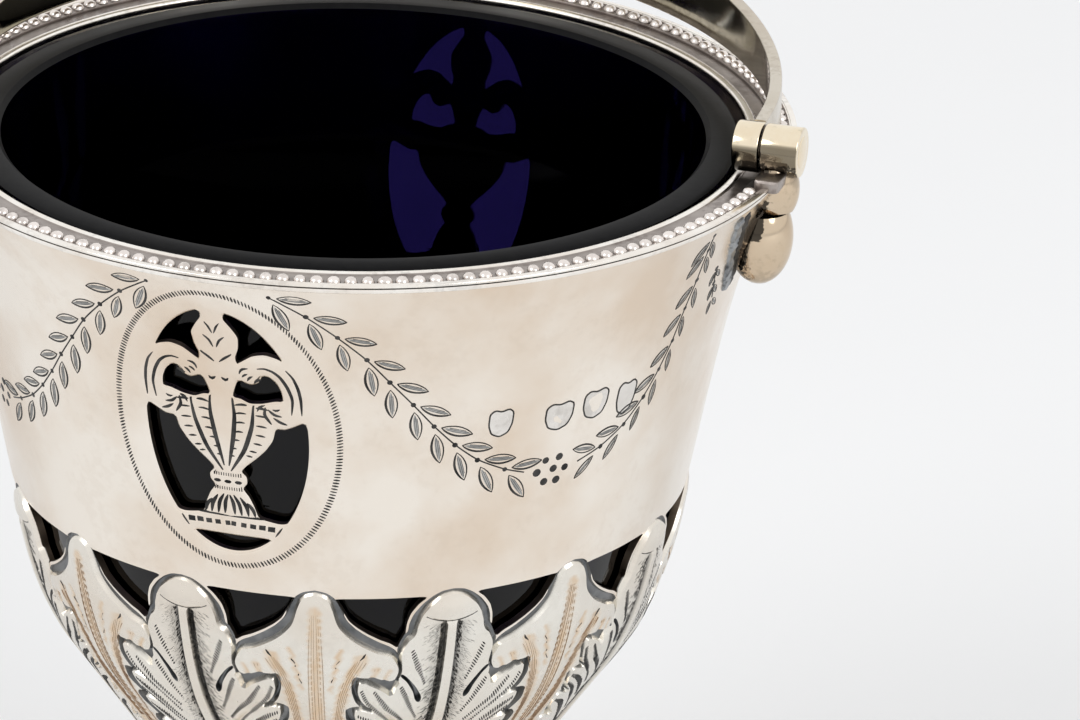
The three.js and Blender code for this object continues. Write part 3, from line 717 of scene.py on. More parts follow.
LEAFLET_CUTS = (
    (
        (7.95, -56.4), (9.6, -56.95), (10.7, -56.7), (12.3, -56.2), (13.8, -56.2), (15.9, -56.1),
        (16.4, -56.9), (16.4, -58.3), (15.7, -60.0), (14.4, -61.15), (12.2, -62.3), (10.0, -62.0),
        (9.2, -60.0),
    ),
    (
        (12.5, -61.2), (14.6, -60.7), (16.5, -60.9), (17.4, -61.4), (17.3, -63.0), (16.4, -64.4),
        (14.8, -65.6), (12.0, -66.6), (11.5, -64.0),
    ),
    (
        (12.5, -65.4), (14.8, -64.8), (16.8, -65.0), (17.5, -65.7), (17.2, -67.2), (16.2, -68.6),
        (14.4, -69.8), (11.5, -70.8), (11.0, -68.0),
    ),
    (
        (12.8, -69.3), (15.0, -68.9), (16.8, -69.2), (17.4, -69.9), (17.0, -71.4), (16.0, -72.8),
        (14.0, -74.0), (11.0, -75.0), (10.5, -72.0),
    ),
    (
        (12.8, -73.4), (15.0, -73.0), (16.6, -73.4), (17.1, -74.2), (16.6, -75.8), (15.4, -77.4),
        (13.0, -78.8), (10.0, -79.8), (9.5, -77.0),
    ),
)
LOBE_CUT = (
    (8.0, -55.9), (6.9, -56.4), (5.2, -57.9), (3.9, -59.6), (3.9, -60.3), (4.3, -60.7), (5.05, -60.1),
    (5.5, -58.8), (6.8, -57.2), (7.9, -56.5),
)
# The broad leaf's sunk stripes, as paths with a half width at each end.
STRIPES = (
    (((0, -46.7), (0, -55.0), (0, -66.0), (0, -80.0)), 0.72, 1.15),
    (((7.6, -53.5), (5.8, -56.4), (4.5, -59.5), (3.7, -64.1), (3.0, -72.0), (2.6, -80)), 0.8, 0.55),
    (((4.1, -52.4), (3.4, -54.7), (2.5, -58.5)), 0.35, 0.2),
    (((10.4, -55.0), (9.6, -56.6), (8.6, -58.5)), 0.45, 0.3),
    (((12.4, -55.7), (11.6, -57.0)), 0.4, 0.3),
)


def leaf_loop(half, axis):
    """A leaf's whole outline in the plane, from its right half."""
    return mirrored(even_curve(on_plane(half), ROW_SPACING)) + (axis, 0)


def side_loop(places, side):
    """An outline beside the ribbed leaf's axis: on its right, or on its left where the side is -1."""
    plane = even_curve(on_plane(places), ROW_SPACING, True)
    if side < 0:
        plane = plane[::-1] * (-1, 1)
    return plane + (MIDDLE, 0)


def inset(outline, widths):
    """A smaller outline inside one of the plane, by a width in millimetres at each of its points."""
    row, clear = inner_row(outline, widths)
    return resampled(row[clear], ROW_SPACING, True)


def inner_row(outline, widths):
    """Points inside an outline by widths in millimetres, and which of them are clear of its other parts."""
    step = widths * UNIT / radius_at(outline[:, 1])
    row = outline + signed(outline) * step[:, None] * rightward(outline, True)
    return row, (distance(row, outline) > 0.92 * step) & inside(row, outline)


def signed(outline):
    """1 for an outline that runs clockwise, -1 for the other way."""
    x, y = outline.T
    area = np.sum(x * np.roll(y, -1) - np.roll(x, -1) * y)
    return 1 if area < 0 else -1


def calyx_regions():
    """The calyx's layers in order: kind, outline, height inside, edge width, puff, finish."""
    layers = []
    for axis in (0.0, SECTOR_WIDTH):
        outer = leaf_loop(BROAD_EDGE, axis)
        away = np.degrees(np.abs(outer[:, 0] - axis)) / UNIT
        layers.append(("cut", outer, -0.3, CUT_EDGE, 0.0, 1))
        layers.append(("broad", inset(outer, np.interp(away, *zip(*BROAD_CUT))), 0.35, 0.3, 0.35, 2))
    outer = leaf_loop(RIBBED_EDGE, MIDDLE)
    depth = np.interp(-outer[:, 1], -LEVEL, DEPTH)
    layers.append(("cut", outer, -0.3, CUT_EDGE, 0.0, 1))
    layers.append(("ribbed", inset(outer, np.interp(depth, *zip(*RIBBED_CUT))), 0.4, 0.3, 0.2, 2))
    for side in (1, -1):
        layers.append(("cut", side_loop(LOBE_CUT, side), -0.05, CUT_EDGE, 0.0, 1))
    for leaflet, cut in zip(LEAFLETS, LEAFLET_CUTS):
        for side in (1, -1):
            layers.append(("cut", side_loop(cut, side), -0.1, CUT_EDGE, 0.0, 1))
            layers.append(("leaflet", side_loop(leaflet, side), 0.6, 0.28, 0.3, 2))
    return layers


REGIONS = calyx_regions()
LIP_LINE = even_curve(on_plane(LIP), ROW_SPACING) + (MIDDLE, 0)


def bar_half(level):
    """Half the width of the ribbed leaf's midrib, in millimetres."""
    return np.interp(-level, [-level_at(48), -level_at(80)], [0.62, 0.85])


def stripe_depth(plane):
    """How deep places lie in the broad leaves' stripes, from 0 to 1."""
    result = np.zeros(len(plane))
    scale = radius_at(plane[:, 1]) / UNIT
    for path, start, end in STRIPES:
        line = even_curve(on_plane(path), 0.8)
        for side in (1, -1):
            for axis in (0.0, SECTOR_WIDTH):
                placed = line * (side, 1) + (axis, 0)
                share = np.clip((placed[0, 1] - plane[:, 1]) / (placed[0, 1] - placed[-1, 1]), 0, 1)
                half = start + (end - start) * share
                away = distance(plane, placed, False) * scale
                result = np.maximum(result, 1 - smooth((away - half * 0.75) / (half * 0.4)))
    return result


def stains_and_shade(plane):
    """Tan tarnishing in the stripes, and painted grey shade beside the midrib, at places of one sector's
    plane.
    """
    _, finish = calyx_surface(plane)
    tan = stripe_depth(plane) * on_broad(plane)
    across = np.abs(plane[:, 0] - MIDDLE) * radius_at(plane[:, 1]) / UNIT - bar_half(plane[:, 1])
    below = smooth((level_at(LIP_DEPTH) - plane[:, 1]) / 0.4)
    beside = smooth((across + 0.02) / 0.15)
    close = beside * (1 - smooth((across - 0.3) / 0.4))
    haze = beside * (1 - smooth(across / 2.2))
    shade = below * (0.5 * close + 0.46 * haze) * (finish == 2)
    return tan, shade


def on_broad(plane):
    """1 where the uppermost layer is a broad leaf."""
    result = np.zeros(len(plane))
    for kind, outline, *_ in REGIONS:
        result = np.where(inside(plane, outline), 1.0 if kind == "broad" else 0.0, result)
    return result


def calyx_surface(plane):
    """Height above the bowl's face and finish, at places of one sector's plane."""
    height = np.zeros(len(plane))
    finish = np.zeros(len(plane), int)
    scale = UNIT / radius_at(plane[:, 1])
    fade = smooth((level_at(45.0) - plane[:, 1] + 1.0) / 3.0) * smooth((plane[:, 1] - level_at(88.0)) / 12.0)
    for kind, outline, top, edge, puff, paint in REGIONS:
        here = np.flatnonzero(inside(plane, outline))
        if len(here) == 0:
            continue
        spot, size = plane[here], scale[here]
        x, y = spot.T
        away = distance(spot, outline) / size
        body = top + puff * smooth(away / 3.0)
        if kind == "broad":
            across = np.minimum(np.abs(x), np.abs(x - SECTOR_WIDTH))
            body = body + 0.12 * np.cos(across * 2.1) * smooth((level_at(60.0) - y) / 6.0)
            body = body - 0.16 * stripe_depth(spot)
        if kind == "ribbed":
            across = np.abs(x - MIDDLE) / size
            below = smooth((level_at(48.45) - y) / 0.5)
            half = bar_half(y)
            bar = 1 - smooth((across - half + 0.1) / 0.2)
            groove = (1 - smooth((across - half - 0.25) / 0.5)) * (1 - bar)
            above = y > np.interp(x, *LIP_LINE.T)
            lip = above * smooth(distance(spot, LIP_LINE, False) / size / 0.3)
            lip = lip * (1 - smooth((across - 2.0) / 1.6))
            body = body + below * (0.25 * bar - 0.3 * groove) + 0.26 * lip
        if kind != "cut":
            body = body * fade[here]
        height[here] += (body - height[here]) * smooth(away / edge)
        finish[here] = paint
    return height, finish


def runs(row, keep):
    """The stretches of a closed row of points that are kept."""
    if keep.all():
        return [np.concatenate([row, row[:1]])]
    start = int(np.flatnonzero(~keep)[0])
    row, keep = np.roll(row, -start, axis=0), np.roll(keep, -start)
    found, run = [], []
    for point, kept in zip(row, keep):
        if kept:
            run.append(point)
        elif run:
            found.append(np.array(run))
            run = []
    if run:
        found.append(np.array(run))
    return found


def clipped(line):
    """The stretches of a line inside one sector, with ends on its sides."""
    found, run = [], []
    for a, b in zip(line[:-1], line[1:]):
        a_in, b_in = 0 < a[0] < SECTOR_WIDTH, 0 < b[0] < SECTOR_WIDTH
        if a_in:
            run.append(a)
        if a_in != b_in:
            outer = b if a_in else a
            limit = 0.0 if outer[0] <= 0 else SECTOR_WIDTH
            t = (limit - a[0]) / (b[0] - a[0])
            run.append(np.array([limit, a[1] + (b[1] - a[1]) * t]))
        if a_in and not b_in:
            found.append(run)
            run = []
    if 0 < line[-1][0] < SECTOR_WIDTH:
        run.append(line[-1])
    found.append(run)
    return [np.array(piece) for piece in found if len(piece) > 1]


def edge_lines(holes, low, top):
    """Lines that the calyx's mesh follows: the sides of each layer's visible edge, the midrib and the lip."""
    lines = []
    for i, (_, outline, _, edge, _, _) in enumerate(REGIONS):
        everywhere = np.ones(len(outline), bool)
        for row, clear in ((outline, everywhere), inner_row(outline, np.full(len(outline), edge))):
            shown = np.ones(len(row), bool)
            for _, later, *_ in REGIONS[i + 1:]:
                shown &= ~inside(row, later)
            shown |= np.roll(shown, 1) | np.roll(shown, -1)
            keep = shown & clear & (row[:, 1] > low + 0.3) & (row[:, 1] < top - 0.2)
            for hole in holes:
                keep &= ~inside(row, hole) & (distance(row, hole) > HOLE_GAP)
            for run in runs(row, keep):
                lines.extend(clipped(run))
    y = np.arange(low + 1, level_at(48.7), 0.6)
    for away in (-0.1, 0.1, 0.35, 0.75):
        reach = (bar_half(y) + away) * UNIT / radius_at(y)
        for side in (1, -1):
            lines.append(np.stack([MIDDLE + side * reach, y], 1))
    lines.append(LIP_LINE)
    lines.append(LIP_LINE + (0, 0.3))
    return lines


def triangulate(border, holes, lines, spots):
    """Delaunay triangles of a rectangle without its holes, through the lines and the spots."""
    points, edges = [], []

    def add(loop, closed):
        start, count = len(points), len(loop)
        points.extend(Vector((float(p[0]), float(p[1]))) for p in loop)
        edges.extend((start + i, start + (i + 1) % count) for i in range(count if closed else count - 1))

    add(border, True)
    for hole in holes:
        add(hole, True)
    for line in lines:
        add(line, False)
    points.extend(Vector((float(p[0]), float(p[1]))) for p in spots)
    verts, _, faces, *_ = delaunay_2d_cdt(points, edges, [], 0, 1e-6, False)
    verts = np.array([tuple(v) for v in verts])
    faces = np.array([f for f in faces if len(f) == 3])
    centre = verts[faces].mean(1)
    keep = np.ones(len(faces), bool)
    for hole in holes:
        keep &= ~inside(centre, hole)
    return verts, faces[keep]


def grid_spots(low, high, spacing, avoid, holes, clear=0.5):
    """Staggered grid points between two levels, kept clear of the points to avoid and out of the holes."""
    rows = max(1, int(round((high - low) / (spacing * 0.87))))
    spots = []
    for k in range(1, rows):
        y = low + (high - low) * k / rows
        start = spacing * (0.5 if k % 2 else 1.0)
        for x in np.arange(start, SECTOR_WIDTH - spacing * 0.4, spacing):
            spots.append((x, y))
    spots = np.array(spots)
    near = np.full(len(spots), 1e9)
    for chunk in np.array_split(avoid, max(1, len(avoid) // 200)):
        gap = spots[:, None, :] - chunk[None, :, :]
        near = np.minimum(near, (gap**2).sum(2).min(1))
    spots = spots[near > (spacing * clear) ** 2]
    for hole in holes:
        spots = spots[~inside(spots, hole)]
    return spots


def thinned(points, gap):
    """One point for each cell of a grid."""
    cells, kept = set(), []
    for p in points:
        cell = (round(p[0] / gap), round(p[1] / gap))
        if cell not in cells:
            cells.add(cell)
            kept.append(p)
    return kept


def hole_rows(holes, reaches, gap, low, top):
    """Thinned rows of points round the holes, clear of the holes and of the sector's border."""
    rows = []
    for hole in holes:
        for reach in reaches:
            rows.extend(map(tuple, offset_row(hole, -reach * signed(hole))))
    rows = [p for p in rows if 0.12 < p[0] < SECTOR_WIDTH - 0.12 and low + 0.2 < p[1] < top - 0.2]
    rows = np.array(thinned(rows, gap)).reshape(-1, 2)
    for hole in holes:
        rows = rows[~inside(rows, hole)]
        rows = rows[distance(rows, hole) > HOLE_GAP]
    return rows


def border_points(levels):
    """The border of one sector's plane, clockwise from its lower left corner."""
    across = [SECTOR_WIDTH * k / COLUMNS for k in range(1, COLUMNS + 1)]
    left = [(0.0, y) for y in levels]
    top = [(x, levels[-1]) for x in across]
    right = [(SECTOR_WIDTH, y) for y in levels[::-1][1:]]
    bottom = [(x, levels[0]) for x in across[-2::-1]]
    return left + top + right + bottom


def facing(points, faces, up):
    """Triangles turned to run anticlockwise, or clockwise where up is -1."""
    a, b, c = (points[faces[:, k]] for k in range(3))
    flip = np.cross(b - a, c - a) * up < 0
    faces[flip] = faces[flip][:, ::-1]
    return faces


def open_edges(faces):
    """The edges that only one face has, in its own direction."""
    edges = {}
    for face in map(list, faces):
        for a, b in zip(face, face[1:] + face[:1]):
            edges[(a, b)] = True
    return [(a, b) for a, b in edges if (b, a) not in edges]


def sector_shell(border, holes, lines, fine, coarse, surface, shades=None):
    """One sector's outer face, inner face and the walls of its holes: points, faces, finishes and marks."""
    outer, faces = triangulate(border, holes, lines, fine)
    height, _ = surface(outer)
    _, finish = surface(outer[faces].mean(1))
    faces = facing(outer, faces, 1)
    inner, inner_faces = triangulate(border, holes, [], coarse)
    inner_faces = facing(inner, inner_faces, -1)
    points = np.concatenate([wall(outer, height), wall(inner, -SHEET)])
    marks = np.zeros((len(points), 2))
    if shades:
        marks[:len(outer)] = np.stack(shades(outer), 1)
    at = {(round(p[0], 4), round(p[1], 4)): i + len(outer) for i, p in enumerate(inner)}
    walls = []
    for a, b in open_edges(faces):
        ends = outer[[a, b]]
        on_side = any((np.abs(ends[:, 0] - x) < 1e-5).all() for x in (0.0, SECTOR_WIDTH))
        on_seam = (np.abs(ends[:, 1] - level_at(CALYX_TOP)) < 1e-5).all()
        if on_side or on_seam:
            continue
        c, d = (at.get((round(outer[i, 0], 4), round(outer[i, 1], 4))) for i in (b, a))
        if c is None or d is None:
            continue
        walls.append((b, a, d, c))
    everything = [tuple(f) for f in faces] + [tuple(f + len(outer)) for f in inner_faces] + walls
    paint = list(finish) + [0] * len(inner_faces) + [3] * len(walls)
    return points, everything, paint, marks


def spin(angle):
    """The matrix of a turn round Z."""
    c, s = math.cos(angle), math.sin(angle)
    return np.array([[c, -s, 0], [s, c, 0], [0, 0, 1]])


def turned(points, angle):
    """Points turned about the axis."""
    return points @ spin(-angle)


def calyx_sector():
    """One sector of the calyx: half a broad leaf at each side, and a ribbed leaf in the middle."""
    top, low = level_at(CALYX_TOP), LOWEST
    levels = np.concatenate([
        np.linspace(low, level_at(82), 28)[:-1], np.linspace(level_at(82), level_at(68), 26)[:-1],
        np.linspace(level_at(68), top, 52),
    ])
    gap = even_curve(on_plane(GAP), 0.3, True, (0.12, 0.2))
    holes = [gap, gap[::-1] * (-1, 1) + (SECTOR_WIDTH, 0)]
    border = border_points(levels)
    lines = edge_lines(holes, low, top)
    rows = hole_rows(holes, (0.22, 0.5), 0.13, low, top)
    near = np.concatenate(lines)
    rows = rows[((rows[:, None, :] - near[None, :, :]) ** 2).sum(2).min(1) > 0.12**2]
    avoid = np.concatenate([rows, near, np.array(border), *holes])
    fine = [rows]
    for start, end, spacing in ((level_at(68), CALYX_TOP, 0.55), (level_at(82), 68, 0.8), (low, 82, 1.3)):
        fine.append(grid_spots(start, level_at(end), spacing, avoid, holes, 0.6))
    coarse = grid_spots(low, top, COARSE, np.concatenate([np.array(border), *holes]), holes)
    return sector_shell(border, holes, lines, np.concatenate(fine), coarse, calyx_surface, stains_and_shade)


# The medallion: an oval pierced round an urn, in shares of its half width and half height.
OVAL = (10.05, 17.0)
OVAL_DEPTH = 22.5
BESIDE_FINIAL = (
    (0.72, 0.64), (0.58, 0.665), (0.43, 0.645), (0.3, 0.59), (0.23, 0.56), (0.22, 0.62), (0.27, 0.69),
    (0.29, 0.79), (0.21, 0.87), (0.13, 0.935),
)
IN_URN_HANDLE = (
    (0.22, 0.435), (0.37, 0.395), (0.47, 0.42), (0.52, 0.485), (0.6, 0.48), (0.68, 0.435), (0.735, 0.36),
    (0.745, 0.28), (0.65, 0.28), (0.49, 0.25), (0.34, 0.24), (0.23, 0.275), (0.13, 0.28),
)
BESIDE_BOWL = (
    (0.59, -0.74), (0.34, -0.71), (0.3, -0.62), (0.24, -0.535), (0.165, -0.475), (0.23, -0.43),
    (0.23, -0.375), (0.16, -0.335), (0.23, -0.285), (0.36, -0.215), (0.48, -0.14), (0.58, -0.05),
    (0.62, 0.05), (0.735, 0.045), (0.855, 0.08), (0.965, 0.115),
)
# Where the band's first sector starts, and the medallions' azimuths.
BAND_PHASE = -112.10625
FRONT, BACK = -90.0, 90.0


def oval_arc(start, end, count):
    """Points of the medallion's oval, by angles clockwise from its top."""
    angles = np.radians(np.linspace(start, end, count))
    return [(math.sin(a), math.cos(a)) for a in angles]


def across_to_plane(shares):
    """Places in shares of the front medallion's oval, as the plane's points."""
    shares = np.asarray(shares, float)
    depth = OVAL_DEPTH - shares[:, 1] * OVAL[1]
    angle = np.degrees(np.arcsin(shares[:, 0] * OVAL[0] / bowl_radius(depth)))
    return on_plane(np.stack([FRONT + angle, -depth], 1))


def medallion_holes():
    """The outlines of the front medallion's seven openings, in its sector's plane."""
    upper, lower = oval_arc(9, 52, 12) + list(BESIDE_FINIAL), oval_arc(86, 137, 12) + list(BESIDE_BOWL)
    sides = [upper, list(IN_URN_HANDLE), lower]
    outlines = [np.array(s) for s in sides] + [np.array(s)[::-1] * (-1, 1) for s in sides]
    outlines.append(np.array(oval_arc(150.5, 209.5, 14)))
    start = UNIT * math.radians(BAND_PHASE)
    return [even_curve(across_to_plane(shares) - (start, 0), 0.3, True, (0.15, 0.22)) for shares in outlines]


# How far the openings' edges fall, by distance from the edge.
EDGE_FALL = ((0.0, 0.28), (0.15, 0.16), (0.35, 0.06), (0.7, 0.0))


def band_sector(holes):
    """One sector of the plain band above the calyx, with or without a medallion's openings."""
    low = level_at(CALYX_TOP)
    border = border_points(np.linspace(low, 0.0, 34))
    rows = hole_rows(holes, [reach for reach, _ in EDGE_FALL[1:]], 0.12, low, 0.0)
    avoid = np.concatenate([rows, np.array(border), *holes])

    def surface(plane):
        height = np.zeros(len(plane))
        finish = np.zeros(len(plane), int)
        if holes:
            near = np.min([distance(plane, hole) for hole in holes], axis=0)
            height = -np.interp(near, *zip(*EDGE_FALL))
        return height, finish

    fine = grid_spots(low, 0.0, 1.1, avoid, holes, 0.55)
    coarse = grid_spots(low, 0.0, COARSE, np.concatenate([np.array(border), *holes]), holes)
    return sector_shell(border, holes, [], np.concatenate([rows, fine]), coarse, surface)


def welded(points, faces, paint, marks):
    """Merges equal points and drops faces that collapse."""
    _, first, same = np.unique(np.round(points, 3), axis=0, return_index=True, return_inverse=True)
    same = same.ravel()
    kept, finishes = [], []
    for face, finish in zip(faces, paint):
        face = [int(same[i]) for i in face]
        if len(set(face)) == len(face):
            kept.append(face)
            finishes.append(finish)
    return points[first], kept, finishes, marks[first]


def closing_discs(points, faces, paint):
    """Closes the rings round the axis at the bowl's underside, outside and inside."""
    low = RIM_HEIGHT - BASE[-1][1]
    centres = {}
    points = list(map(tuple, points))
    for a, b in open_edges(faces):
        z = points[a][2]
        if z > low + 3:
            continue
        key = 0 if z < low + SHEET / 2 else 1
        if key not in centres:
            centres[key] = len(points)
            points.append((0.0, 0.0, z))
        faces.append([b, a, centres[key]])
        paint.append(0)
    return np.array(points), faces, paint


def bowl():
    """The pierced and raised bowl as one closed mesh."""
    calyx = calyx_sector()
    plain, medallion = band_sector([]), band_sector(medallion_holes())
    parts, paint, marks = [], [], []
    for k in range(SECTORS):
        band = medallion if k in (0, 4) else plain
        for (some, theirs, finish, shade), phase in ((calyx, BROAD_AXIS), (band, BAND_PHASE)):
            parts.append((turned(some, math.radians(phase + SECTOR * k)), theirs))
            paint.extend(finish)
            marks.append(shade)
    points, faces, paint, marks = welded(*joined(parts), paint, np.concatenate(marks))
    points, faces, paint = closing_discs(points, faces, paint)
    body = add_object("bowl", points, faces, [silver, cut_dark_reflection, leaf_silver, pierced_edge], paint)
    marks = np.concatenate([marks, np.zeros((len(points) - len(marks), 2))])
    for column, key in enumerate(("tan", "shade")):
        mark_points(body, key, marks[:, column])
    return body


dress(bowl(), "basket", "silver", "body_shell")


# Rim, foot and glass, all turned

def turned_piece(name, profile, material, *nodes, segments=RING_TURNS):
    return silver_piece(name, lathe_mesh(profile, segments), material, *nodes)


def painted_ring(name, profile, ground, *nodes):
    """A turned ring of the basket, with a darker ground finish between two radii: painted shade and
    tarnishing in the rim's recesses.
    """
    points, faces = lathe_mesh(profile, RING_TURNS)
    middle = np.array([points[list(face)].mean(0) for face in faces])
    radius = np.hypot(middle[:, 0], middle[:, 1])
    index = (radius > ground[0]) & (radius < ground[1])
    ring = add_object(name, points, faces, [rim_silver, rim_ground_shade], index.astype(int))
    return dress(ring, "basket", "silver", *nodes)


COLLAR = [(48.1, 119.5), (53.05, 119.5), (53.05, 120.4), (49.3, 120.3), (49.1, 120.5, 0.1),
          (48.1, 120.5, 0.45)]
BED = [(51.1, 120.3), (53.4, 120.3), (53.4, 120.95), (53.15, 120.95), (53.1, 120.72), (51.1, 120.66)]
LOWER_WIRE = [(53.1, 119.85), (53.85, 119.85), (54.05, 120.5), (53.1, 120.5)]
STEM = [(0, 27.3), (10, 27.3, 1.1), (10, 29.7, 1.1), (0, 29.7)]
LIP_DEPTHS = np.linspace(2.6, 0.8, 7)
BOWL_LIP = [(52.7, 118.4), *zip(bowl_radius(LIP_DEPTHS) + 0.025, RIM_HEIGHT - LIP_DEPTHS), (52.7, 120.2)]
NECK, FLANGE, FOOT_EDGE = 23.0, 4.0, 32.98

painted_ring("collar_ring", rounded(COLLAR, 0.1), (49.15, 60.0), "rim_collar")
painted_ring("bead_bed", rounded(BED, 0.08), (0.0, 53.12))
turned_piece("edge_wire", rounded(block(53.3, 120.62, 54.1, 121.0), 0.15), rim_silver, "rim_edge_wire")
# A dark ring under the edge wire paints its thin shadow.
turned_piece("rim_seam", rounded(block(53.3, 120.45, 53.9, 120.68), 0.05), engraved)
turned_piece("lower_wire", rounded(LOWER_WIRE, 0.2), rim_silver)
turned_piece("bowl_lip", BOWL_LIP, silver)
turned_piece("stem_ring", rounded(STEM, 1.1, False, 8), silver, "stem_collar", segments=RING_TURNS // 2)
turned_piece("foot_edge", rounded(block(30.5, 0, 33.6, 2.8), 0.7, True, 6), silver, "foot_rim_wire")


def foot_profile():
    """The foot's section: the neck, the flared outer face, the inner face and the axis."""
    belly = FLANGE + (NECK - FLANGE) * 0.4
    bends = ((7, NECK), (7, belly), (FOOT_EDGE * 0.6, FLANGE + 1), (FOOT_EDGE, FLANGE))
    curve = bezier(bends, np.linspace(0, 1, 60))
    under = curve + SHEET * rightward(curve)
    under[-1] = (FOOT_EDGE, FLANGE - SHEET)
    neck = [(0, 27.0), (9, 27.0, 0.3), (9, 25.67, 0.5), (7.05, NECK + 0.8, 1.5), (7, NECK)]
    return np.concatenate([rounded(neck, 0.5, False)[:-1], curve, under[::-1], [(0, NECK)]])


turned_piece("foot", foot_profile(), silver, "foot_trumpet")
# The liner's radius at its rim.
GLASS_RADIUS = 46.9


def glass_profile():
    """The liner's section, which follows the bowl inside a gap that narrows downwards."""
    def gap(depth):
        return 0.8 + (0.35 - 0.8) * min(1, depth / 66)

    def outer(depth):
        at = max(depth, KNOTS[0][0])
        slope = bowl_radius(at + 0.5) - bowl_radius(at - 0.5)
        inner = bowl_radius(at) - SHEET * math.hypot(1, slope)
        return min(GLASS_RADIUS - 0.045 * (depth - 0.9), inner - gap(depth))

    def thick(depth):
        return 3 + 0.9 * max(0, 1 - depth / 45)

    side = [(outer(d), d) for d in np.linspace(1.3, 77, 60)]
    hollow = [(outer(d) - thick(d), d) for d in np.linspace(73.5, 1.5, 60)]
    foot = [(outer(80.33) - 0.83, 80.33), (outer(82) - 3.5, 82)]
    floor = [(hollow[0][0] - 5, 78.5), (hollow[0][0] - 1.25, 76.83)]
    rim = [(outer(0.9) - 0.5, 0.9), (outer(0.9) - 3.3, 0.9)]
    profile = [(0, 78.5)] + floor + hollow + rim[::-1] + side + foot + [(0, 82)]
    return [(float(r), RIM_HEIGHT - float(d)) for r, d in profile]


def glass():
    """The blue liner, with its ground rim."""
    points, faces = lathe_mesh(glass_profile(), GLASS_TURNS)
    top = np.array([np.mean(points[list(f), 2]) for f in faces]) > RIM_HEIGHT - 1.5
    return add_object("glass", points, faces, [blue_glass, ground_glass], top.astype(int), 40.0)


dress(glass(), "liner", "blue_glass", "glass_liner")


# Engraving: closed strips a hair proud of the bowl's face, in dark or grey finishes.

def strip(path, width, top=LIFT, flat=False, closed=False):
    """A closed strip along a path, on the bowl or flat: one width in millimetres, or one for each point."""
    path = np.asarray(path, float)
    if closed:
        path = np.concatenate([path, path[:1]])
    half = np.broadcast_to(np.asarray(width, float) / 2, (len(path),))[:, None]
    if not flat:
        half = half * (UNIT / radius_at(path[:, 1]))[:, None]
    side = -rightward(path)
    corners = np.stack([path + side * half * share for share in (-1, 1, 0.7, -0.7)], 1)
    top = np.broadcast_to(np.asarray(top, float), (len(path),))
    heights = np.stack([top * 0 + SUNK, top * 0 + SUNK, top, top], 1)
    if flat:
        solid = np.concatenate([corners, heights[:, :, None]], 2)
    else:
        solid = wall(corners.reshape(-1, 2), heights.reshape(-1)).reshape(-1, 4, 3)
    return lofted_mesh(list(solid))


def tapered(path, width):
    """A smoothed path and widths that swell from its ends."""
    line = even_curve(path, 0.3)
    t = np.linspace(0, 1, len(line))
    return line, width * (0.25 + 0.75 * np.sin(math.pi * t) ** 0.7)


def on_front(places, azimuth):
    """Places as millimetres from a medallion's axis and height from the beads' plane."""
    places = np.asarray(places, float)
    turn = np.degrees(places[:, 0] / bowl_radius(-places[:, 1]))
    return on_plane(np.stack([azimuth + turn, places[:, 1]], 1))


# The urn's right half: lines with widths, ladders of short strokes, squares and ovals.
URN_LINES = (
    (((4.82, -13.1), (5.71, -12.94), (6.66, -13.29), (7.46, -14.0), (8.2, -15.38), (8.7, -17.18),
      (8.4, -19.31)), 0.3),
    (((8.2, -13.0), (8.97, -14.0), (9.45, -15.54), (9.65, -17.09), (9.6, -19.3)), 0.28),
    (((2.6, -14.1), (2.75, -13.6), (3.14, -13.3), (3.7, -13.2)), 0.22),
    (((2.9, -14.5), (3.2, -14.15), (3.6, -14.0)), 0.22),
    (((3.5, -14.95), (3.75, -14.5), (4.2, -14.25)), 0.24),
    (((4.3, -15.2), (4.6, -14.85), (5.2, -14.6)), 0.22),
    (((5.32, -18.56), (5.12, -19.63), (5.91, -20.85)), 0.3),
    (((5.63, -18.79), (6.34, -19.5), (7.2, -19.67)), 0.28),
    (((6.18, -18.73), (6.6, -18.9), (7.06, -18.64)), 0.24),
    (((6.2, -19.9), (7.0, -20.5), (7.77, -20.75)), 0.28),
    (((5.2, -18.3), (4.6, -18.6), (4.3, -19.2)), 0.2),
    (((1.38, -17.79), (1.52, -20.12), (1.11, -23.3), (0.3, -27.4)), 0.4),
    (((3.89, -18.48), (3.55, -21.39), (2.4, -24.93), (0.5, -28.1)), 0.4),
    (((0.1, -31.5), (0.5, -32.5), (0.62, -34.15)), 0.34),
    (((0.6, -31.44), (1.25, -32.62), (1.46, -34.2)), 0.34),
    (((1.39, -31.68), (2.15, -32.98), (2.3, -34.2)), 0.34),
    (((2.2, -32.4), (2.9, -33.3), (3.1, -34.2)), 0.28),
    (((0, -34.5), (1.8, -34.42), (4.1, -34.45)), 0.18),
    (((5.4, -36.7), (6.3, -35.4)), 0.18),
    (((0.3, -12.7), (1.1, -12.0), (1.9, -11.45)), 0.24),
    (((0.2, -10.6), (0.6, -9.6), (1.3, -9.0)), 0.22),
    (((0.1, -8.6), (0.5, -7.6), (0.9, -7.1)), 0.2),
    (((0.35, -14.9), (0.9, -15.3), (1.2, -14.9)), 0.3),
)
LADDERS = (
    ((2.32, -18.56), (2.23, -19.75), (2.05, -21.08), (1.79, -22.42), (1.36, -23.66), (1.0, -24.88),
     (0.74, -25.96)),
    ((4.96, -18.87), (4.77, -19.93), (4.66, -21.38), (4.45, -22.71), (4.03, -23.93), (3.4, -25.05),
     (2.9, -25.76)),
)
SQUARES = ((0.36, -35.49), (1.61, -35.54), (2.75, -35.58), (3.87, -35.61), (4.98, -35.74))
OVALS = ((0.0, -29.66), (1.3, -29.63))
# The ring of ticks round each medallion: its centre's height, its half sizes, and a tick's length and pitch.
RING_CENTRE, RING_HALF, TICK, TICK_PITCH = -22.1, (13.8, 19.3), 0.76, 0.43


